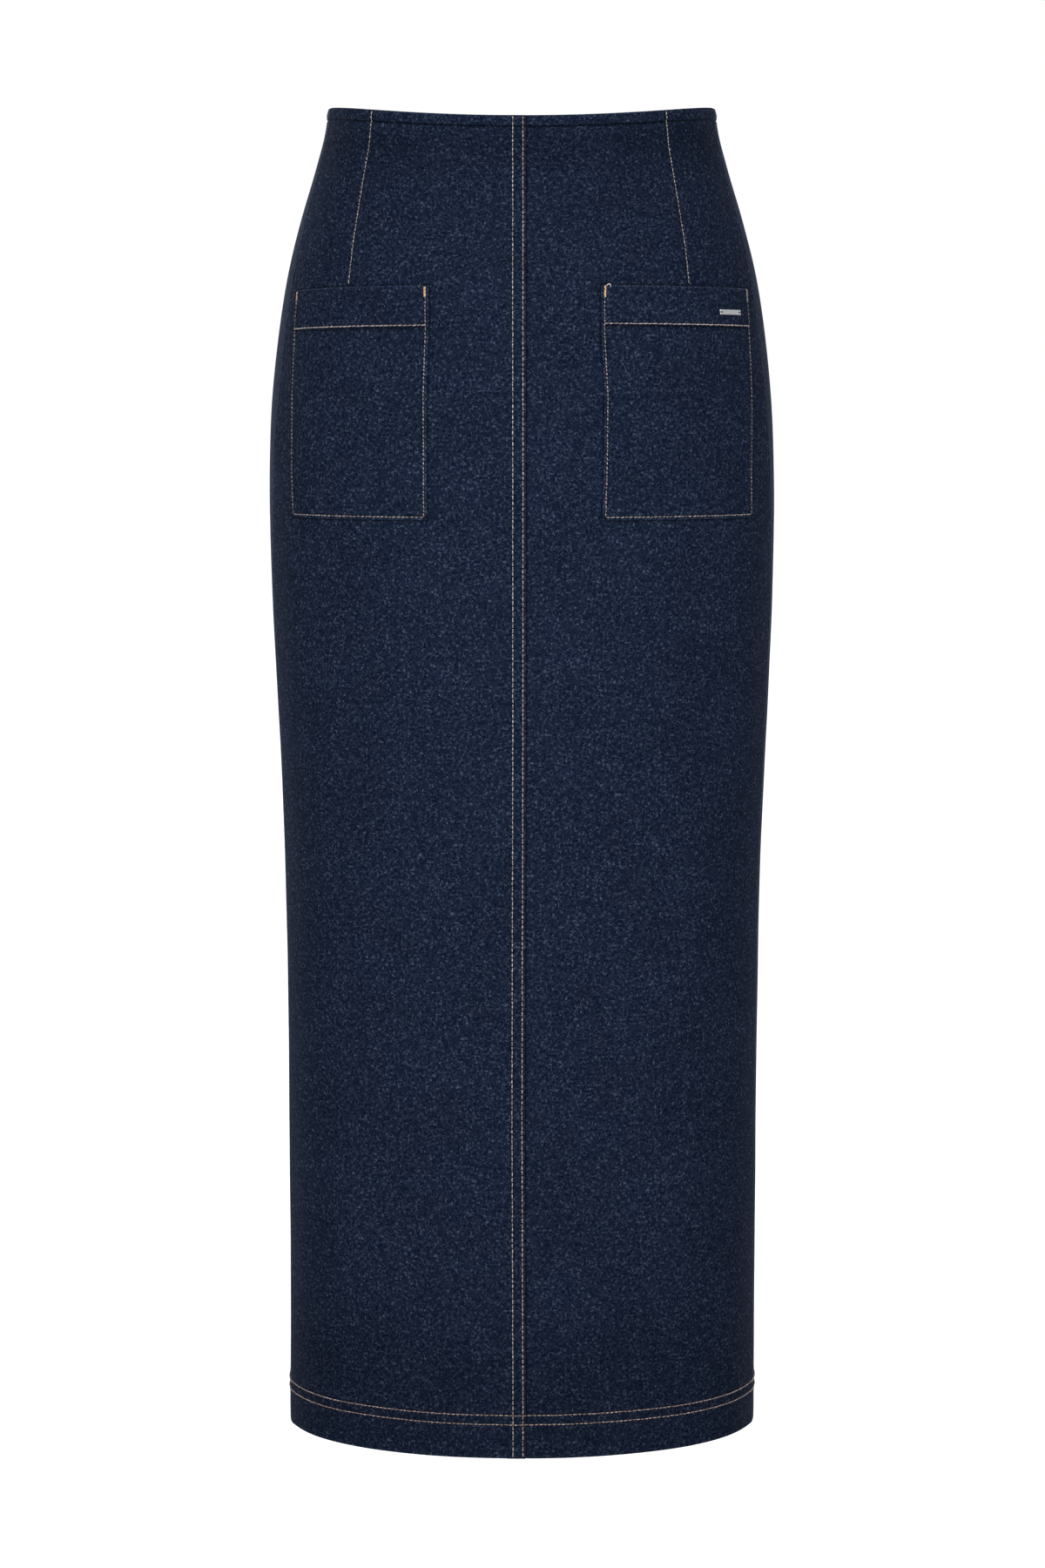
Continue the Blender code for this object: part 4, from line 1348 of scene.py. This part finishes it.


def denim(name, dark, pale, contrast, sheen):
    """Indigo twill. Colour = dark + (pale - dark) * fleck, times the uneven dye, the
    painted shade at stitches, seams and grooves, and the paleness of rubbed edges and of
    the painted highlight on the side seams' ridges, and
    fleck = contrast * mix(noise ^ power, noise) * twill * patch."""
    made, tree, shader = new_material(name, {
        "Roughness": 0.9, "IOR": 1.45, "Specular IOR Level": 0.03,
        "Sheen Weight": sheen, "Sheen Roughness": 0.3, "Sheen Tint": colour("#b7c6e6")})
    place = add(tree, "ShaderNodeUVMap", uv_map="cloth_map").outputs["UV"]
    worms = add(tree, "ShaderNodeTexNoise",
                {"Scale": 1 / (FLECK_CELL * MM), "Detail": 0.0, "Distortion": 1.0},
                {"Vector": place}, noise_dimensions="2D")
    stroke = add(tree, "ShaderNodeMapRange", {"From Min": 0.2, "From Max": 0.8},
                 {"Value": worms.outputs["Fac"]})
    tops = add(tree, "ShaderNodeMath", {1: FLECK_POWER}, {0: stroke.outputs[0]}, operation="POWER")
    tops = add(tree, "ShaderNodeMix", {0: YARN_SHARE}, {2: tops.outputs[0], 3: stroke.outputs[0]})
    patch = add(tree, "ShaderNodeTexNoise",
                {"Scale": 1 / (PATCH_CELL * MM), "Detail": 3.0, "Roughness": 0.7},
                {"Vector": place}, noise_dimensions="2D")
    patch = add(tree, "ShaderNodeMapRange",
                {"From Min": 0.3, "From Max": 0.7, "To Min": 0.6, "To Max": 1.4},
                {"Value": patch.outputs["Fac"]})
    slope = add(tree, "ShaderNodeMapping", {"Scale": (WALE_RISE, -1.0, 1.0)}, {"Vector": place})
    # a diagonal wave repeats every 0.2 * pi / Scale
    wales = add(tree, "ShaderNodeTexWave",
                {"Scale": 0.2 * math.pi / (WALE_RISE * WALE_ACROSS * MM),
                 "Distortion": WALE_WAVER, "Detail": 1.0},
                {"Vector": slope.outputs[0]}, bands_direction="DIAGONAL")
    twill = add(tree, "ShaderNodeMapRange", {"To Min": WALE_LIGHT[0], "To Max": WALE_LIGHT[1]},
                {"Value": wales.outputs["Fac"]})
    tops = add(tree, "ShaderNodeMath", None, {0: tops.outputs[0], 1: twill.outputs[0]},
               operation="MULTIPLY")
    fleck = add(tree, "ShaderNodeMath", None, {0: tops.outputs[0], 1: patch.outputs[0]},
                operation="MULTIPLY")
    fleck = add(tree, "ShaderNodeMath", {1: contrast}, {0: fleck.outputs[0]}, operation="MULTIPLY")
    ground = add(tree, "ShaderNodeMix", {6: colour(dark), 7: colour(pale)}, {0: fleck.outputs[0]},
                 data_type="RGBA")
    cloud = add(tree, "ShaderNodeTexNoise",
                {"Scale": CLOUDS_PER_METRE, "Detail": 4.0, "Roughness": 0.65},
                {"Vector": place}, noise_dimensions="2D")
    cloud = add(tree, "ShaderNodeMapRange",
                {"From Min": 0.3, "From Max": 0.7, "To Min": CLOUD_LIGHT[0],
                 "To Max": CLOUD_LIGHT[1]},
                {"Value": cloud.outputs["Fac"]})
    # masks of painted shade, and of wear with a painted highlight
    stitch_sink_and_shade, painted_shade, wear_and_highlight = (
        add(tree, "ShaderNodeAttribute", attribute_name=title).outputs["Fac"]
        for title in ("stitch_sink_and_shade", "painted_shade", "wear_and_highlight"))
    # painted shade along stitches, seams and grooves, and in the bands under the waist and above
    # the hem
    shade = add(tree, "ShaderNodeMath", None, {0: stitch_sink_and_shade, 1: painted_shade}, operation="MAXIMUM")
    shade = add(tree, "ShaderNodeMapRange", {"To Min": 1.0, "To Max": SHADE_LIGHT},
                {"Value": shade.outputs[0]})
    # paler along rubbed edges, and a painted highlight along the side seams' ridges
    paling = add(tree, "ShaderNodeMapRange", {"To Min": 1.0, "To Max": WEAR_AND_HIGHLIGHT_LIGHT}, {"Value": wear_and_highlight})
    light = add(tree, "ShaderNodeMath", None, {0: shade.outputs[0], 1: cloud.outputs[0]},
                operation="MULTIPLY")
    light = add(tree, "ShaderNodeMath", None, {0: light.outputs[0], 1: paling.outputs[0]},
                operation="MULTIPLY")
    dyed = add(tree, "ShaderNodeVectorMath", None,
               {0: ground.outputs[2], "Scale": light.outputs[0]}, operation="SCALE")
    tree.links.new(dyed.outputs[0], shader.inputs["Base Color"])
    yarns = add(tree, "ShaderNodeMath", {1: WALE_RELIEF},
                {0: wales.outputs["Fac"], 2: fleck.outputs[0]}, operation="MULTIPLY_ADD")
    bump = add(tree, "ShaderNodeBump", {"Strength": 0.35, "Distance": 0.3 * MM},
               {"Height": yarns.outputs[0]})
    tree.links.new(bump.outputs[0], shader.inputs["Normal"])
    return made


DENIM_RIGHT = denim("indigo_denim_right_side", "#081327", "#545f77", 0.525, 0.14)
DENIM_WRONG = denim("indigo_denim_wrong_side", "#36415a", "#b4bdca", 1.5, 0.05)
print("twill lines", WALE_ACROSS, "mm apart along the weft")

# %% [markdown]
# ### Thread
#
# Topstitching thread is corespun polyester: slightly glossy and twisted from plies, with
# painted shade in the grooves of its twist. Indigo rubs off on it, so it is dull in some
# places, and in others it is bright with painted glints, even within one stitch.

# %% Threads
SOIL_AND_GLINT_CELL = 1.5         # mm, stretches of a thread that are soiled, or bright with a painted glint
PLY_SCALE = 420.0         # a turn of the twist every 1.5 mm, which is 0.2 * pi over this
PLY_GROOVE_SHADE = 0.3           # how much painted shade darkens the thread in the grooves of its twist
TONE_SHARE = 0.25         # and how much each stitch's own tone does


def topstitch_thread(name, pale, dark):
    """Twisted thread. Colour = pale to dark by 0.3 * ply + soil_and_glints + 0.25 * tone,
    where ply paints shade in the twist's grooves and soil_and_glints is dull soil or a
    painted glint.
    """
    made, tree, shader = new_material(name, {
        "Roughness": 0.50, "IOR": 1.5, "Specular IOR Level": 0.35,
        "Sheen Weight": 0.1, "Sheen Roughness": 0.5})
    place = add(tree, "ShaderNodeUVMap", uv_map="cloth_map").outputs["UV"]
    ply = add(tree, "ShaderNodeTexWave", {"Scale": PLY_SCALE, "Distortion": 0.0},
              {"Vector": place}, bands_direction="DIAGONAL")
    tone = add(tree, "ShaderNodeAttribute", attribute_name="tone").outputs["Fac"]
    # a noise of soil in some stretches and painted glints in others
    soil_and_glints = add(tree, "ShaderNodeTexNoise", {"Scale": 1 / (SOIL_AND_GLINT_CELL * MM), "Detail": 1.0},
                 {"Vector": place}, noise_dimensions="2D")
    soil_and_glints = add(tree, "ShaderNodeMapRange",
                 {"From Min": 0.38, "From Max": 0.62, "To Min": -0.05, "To Max": 0.75},
                 {"Value": soil_and_glints.outputs["Fac"]})
    # painted shade in the grooves of the twist
    mixed = add(tree, "ShaderNodeMath", {1: PLY_GROOVE_SHADE, 2: 0.0}, {0: ply.outputs["Fac"]},
                operation="MULTIPLY_ADD")
    mixed = add(tree, "ShaderNodeMath", None, {0: mixed.outputs[0], 1: soil_and_glints.outputs[0]},
                operation="ADD")
    mixed = add(tree, "ShaderNodeMath", {1: TONE_SHARE}, {0: tone, 2: mixed.outputs[0]},
                operation="MULTIPLY_ADD")
    shade = add(tree, "ShaderNodeMix", {6: colour(pale), 7: colour(dark)}, {0: mixed.outputs[0]},
                data_type="RGBA")
    tree.links.new(shade.outputs[2], shader.inputs["Base Color"])
    bump = add(tree, "ShaderNodeBump", {"Strength": 0.4, "Distance": 0.1 * MM},
               {"Height": ply.outputs["Fac"]})
    tree.links.new(bump.outputs[0], shader.inputs["Normal"])
    return made


THREAD_BEIGE = topstitch_thread("beige_topstitch_thread", "#ddd2d0", "#5f5453")
THREAD_COPPER = topstitch_thread("copper_topstitch_thread", "#d9cbc8", "#4e4546")
THREAD_PINK = topstitch_thread("pink_tan_topstitch_thread", "#cfbab3", "#5f4d48")
THREAD_NAVY = topstitch_thread("navy_sewing_thread", "#2c3240", "#10141e")
NYLON_COIL = topstitch_thread("nylon_zip_coil", "#3a465c", "#1b2434")
THREAD_GOLD = topstitch_thread("gold_tack_thread", "#fae2b4", "#b9854c")
print("threads:", ", ".join(made.name for made in (
    THREAD_BEIGE, THREAD_COPPER, THREAD_PINK, THREAD_NAVY, NYLON_COIL, THREAD_GOLD)))

# %% [markdown]
# ### Metal and zip tape
#
# The slider, its pull and the bar are metal with a nickel plate, brushed from side to
# side: a grey mirror that is blurred unevenly, so highlights on it are soft and streaked.
# The zip's tape is woven polyester, matt, with fine ribs that catch the light; their
# crests are also painted lighter and the hollows between them painted darker.

# %% Metal
BRUSHED_CELLS = (300.0, 300.0, 6000.0)    # in a metre: long from side to side, 0.17 mm high


def nickel(name, base, roughness, brushed):
    """Plated metal: the default IOR, with faint lines that run from side to side."""
    made, tree, shader = new_material(name, {"Metallic": 1.0, "Base Color": colour(base)})
    place = add(tree, "ShaderNodeTexCoord").outputs["Object"]
    stretch = add(tree, "ShaderNodeMapping", {"Scale": BRUSHED_CELLS}, {"Vector": place})
    lines = add(tree, "ShaderNodeTexNoise", {"Scale": 1.0, "Detail": 2.0},
                {"Vector": stretch.outputs[0]})
    rough = add(tree, "ShaderNodeMapRange",
                {"To Min": roughness - brushed, "To Max": roughness + brushed},
                {"Value": lines.outputs["Fac"]})
    tree.links.new(rough.outputs[0], shader.inputs["Roughness"])
    return made


NICKEL = nickel("brushed_nickel_plate", "#b2b3b6", 0.40, 0.10)
SATIN_NICKEL = nickel("satin_nickel_plate", "#d4d6d8", 0.55, 0.08)

# %% Zip tape
RIB_SCALE = 600.0         # a rib every 0.5 mm


def zip_tape(name):
    """Woven polyester tape: fine ribs along the zip, painted lighter on their crests and
    darker between them.
    """
    made, tree, shader = new_material(name, {"Roughness": 0.75, "Specular IOR Level": 0.3})
    place = add(tree, "ShaderNodeTexCoord").outputs["Object"]
    ribs = add(tree, "ShaderNodeTexWave", {"Scale": RIB_SCALE, "Distortion": 0.4},
               {"Vector": place}, bands_direction="Z").outputs["Fac"]
    # painted light on the ribs' crests and painted shade between them
    rib_light_and_shade = add(tree, "ShaderNodeMix", {6: colour("#141a26"), 7: colour("#263145")}, {0: ribs},
               data_type="RGBA")
    tree.links.new(rib_light_and_shade.outputs[2], shader.inputs["Base Color"])
    bump = add(tree, "ShaderNodeBump", {"Strength": 0.5, "Distance": 0.2 * MM}, {"Height": ribs})
    tree.links.new(bump.outputs[0], shader.inputs["Normal"])
    return made


ZIP_TAPE = zip_tape("woven_zip_tape")
print("metal and tape:", NICKEL.name, SATIN_NICKEL.name, ZIP_TAPE.name)

# %% Paint, ride and replace
for (face, side), thing in panels.items():
    paint(thing, DENIM_RIGHT, DENIM_WRONG)
    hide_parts(face + "_" + side)
    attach(thing, "skirt")
for thing in (piece for strips in inside.values() for piece in strips):
    # only a fold shows its wrong side
    paint(thing, DENIM_WRONG if "fold" in thing.name else DENIM_RIGHT)
    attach(thing, "skirt")
for side, thing in pockets.items():
    paint(thing, DENIM_RIGHT)
    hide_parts("pocket_" + side)
    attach(thing, "skirt")
for thing, finish in (
        (centre_thread, THREAD_BEIGE), (dart_thread, THREAD_BEIGE), (hem_thread, THREAD_PINK),
        (pocket_threads["left"], THREAD_COPPER), (pocket_threads["right"], THREAD_COPPER),
        (bar_tacks, THREAD_GOLD), (plain_tack, THREAD_COPPER), (loose_end, THREAD_BEIGE),
        (bar_ties, THREAD_NAVY), (bobbin_thread, THREAD_PINK), (serge_thread, THREAD_BEIGE),
        (tape_thread, THREAD_NAVY), (zip_coil, NYLON_COIL)):
    paint(thing, finish)
    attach(thing, "skirt")
for node in ("zip_slider", "zip_pull"):
    paint(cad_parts[node], NICKEL)
paint(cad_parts["pocket_bar"], SATIN_NICKEL)
for node in ("zip_tape_left", "zip_tape_right"):
    paint(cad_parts[node], ZIP_TAPE)

for side in SIDES:
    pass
print(len(panels) + len(pockets), "sheets of denim")

# %% [markdown]
# ## The studio
#
# Dark cloth on white needs light from all round, or its sides fall to black, and one
# large soft light in front that is a little stronger, so that the form still turns. A
# small light behind each side draws a thin lighter rim, stronger on the left, and one
# straight behind shows the zip and the back seam to someone who walks round.
# The floor is a pale plane a hand's width under the hem, where the wearer would stand.

# %% Floor and world
FLOOR_DROP = 1.06         # m under the waist level
FLOOR_HALF = 30
corners = [(x * FLOOR_HALF, y * FLOOR_HALF, -FLOOR_DROP)
           for x, y in ((-1, -1), (1, -1), (1, 1), (-1, 1))]
floor_mesh = bpy.data.meshes.new("floor")
floor_mesh.from_pydata(corners, [], [(0, 1, 2, 3)])
floor = bpy.data.objects.new("floor", floor_mesh)
bpy.context.scene.collection.objects.link(floor)
FLOOR_PAPER, paper_tree, paper_shader = new_material("white_studio_paper", {
    "Base Color": colour("#8e8e8e"), "Roughness": 0.9, "Emission Color": colour("#ffffff")})
# the lens sees the paper burnt out to white, while the cloth gets only its soft bounce
paper_ray = add(paper_tree, "ShaderNodeLightPath").outputs["Is Camera Ray"]
paper_tree.links.new(paper_ray, paper_shader.inputs["Emission Strength"])
paint(floor, FLOOR_PAPER)

WORLD_STRENGTH = 0.51     # of the light from all round; the lens sees it as plain white
world = bpy.data.worlds.new("studio")
bpy.context.scene.world = world
world.use_nodes = True
world_tree = world.node_tree
background = world_tree.nodes["Background"]
background.inputs["Color"].default_value = (1.0, 1.0, 1.0, 1.0)
ray = add(world_tree, "ShaderNodeLightPath").outputs["Is Camera Ray"]
strength = add(world_tree, "ShaderNodeMapRange", {"To Min": WORLD_STRENGTH, "To Max": 1.0},
               {"Value": ray})
world_tree.links.new(strength.outputs[0], background.inputs["Strength"])
print("floor", FLOOR_DROP, "m under the waist")

# %% Lights
LIGHTS = (                # name, place and aim in metres, size in metres, power in watts
    ("front_softbox", (-0.07, -1.42, -0.20), (0.0, 0.0, -0.36), 0.8, 15.4),
    ("left_rim_light", (-1.75, 1.5, 0.1), (0.0, 0.0, -0.45), 0.36, 10.0),
    ("right_rim_light", (2.0, 0.9, 0.1), (0.0, 0.0, -0.45), 0.36, 2.5),
    ("rear_fill", (0.0, 2.3, 0.1), (0.0, 0.0, -0.45), 0.36, 16.0),
)


def soft_light(name, place, aim, size, power):
    """A square area light that looks at a point."""
    lamp = bpy.data.lights.new(name, "AREA")
    lamp.size = size
    lamp.energy = power
    thing = bpy.data.objects.new(name, lamp)
    bpy.context.scene.collection.objects.link(thing)
    away = np.array(aim, float) - np.array(place, float)
    thing.location = place
    tilt = math.atan2(math.hypot(away[0], away[1]), -away[2])
    thing.rotation_euler = (tilt, 0.0, math.atan2(-away[0], away[1]))


for light in LIGHTS:
    soft_light(*light)
print("lights:", ", ".join(name for name, *_ in LIGHTS))

# %% [markdown]
# ## The camera
#
# A long lens from two and a half metres keeps the tube's edges nearly parallel. It is
# level with the wearer's hips and tilted a little down, so the waist edge shows its dip
# and the hem curves down.

# %% Camera
LENS = 80.22              # mm, for a sensor 36 mm wide
SENSOR_WIDTH = 36.0
CAMERA_PLACE = (0.0005, -2.5, -0.2194)    # m
CAMERA_TILT = 5.8788      # degrees down from level
camera_data = bpy.data.cameras.new("camera")
camera_data.lens = LENS
camera_data.sensor_width = SENSOR_WIDTH
camera = bpy.data.objects.new("camera", camera_data)
bpy.context.scene.collection.objects.link(camera)
camera.location = CAMERA_PLACE
camera.rotation_euler = (math.radians(90 - CAMERA_TILT), 0.0, 0.0)
bpy.context.scene.camera = camera
bpy.context.scene.view_settings.view_transform = "Standard"
print("camera", -CAMERA_PLACE[1], "m in front of the middle, tilted", CAMERA_TILT, "degrees down")
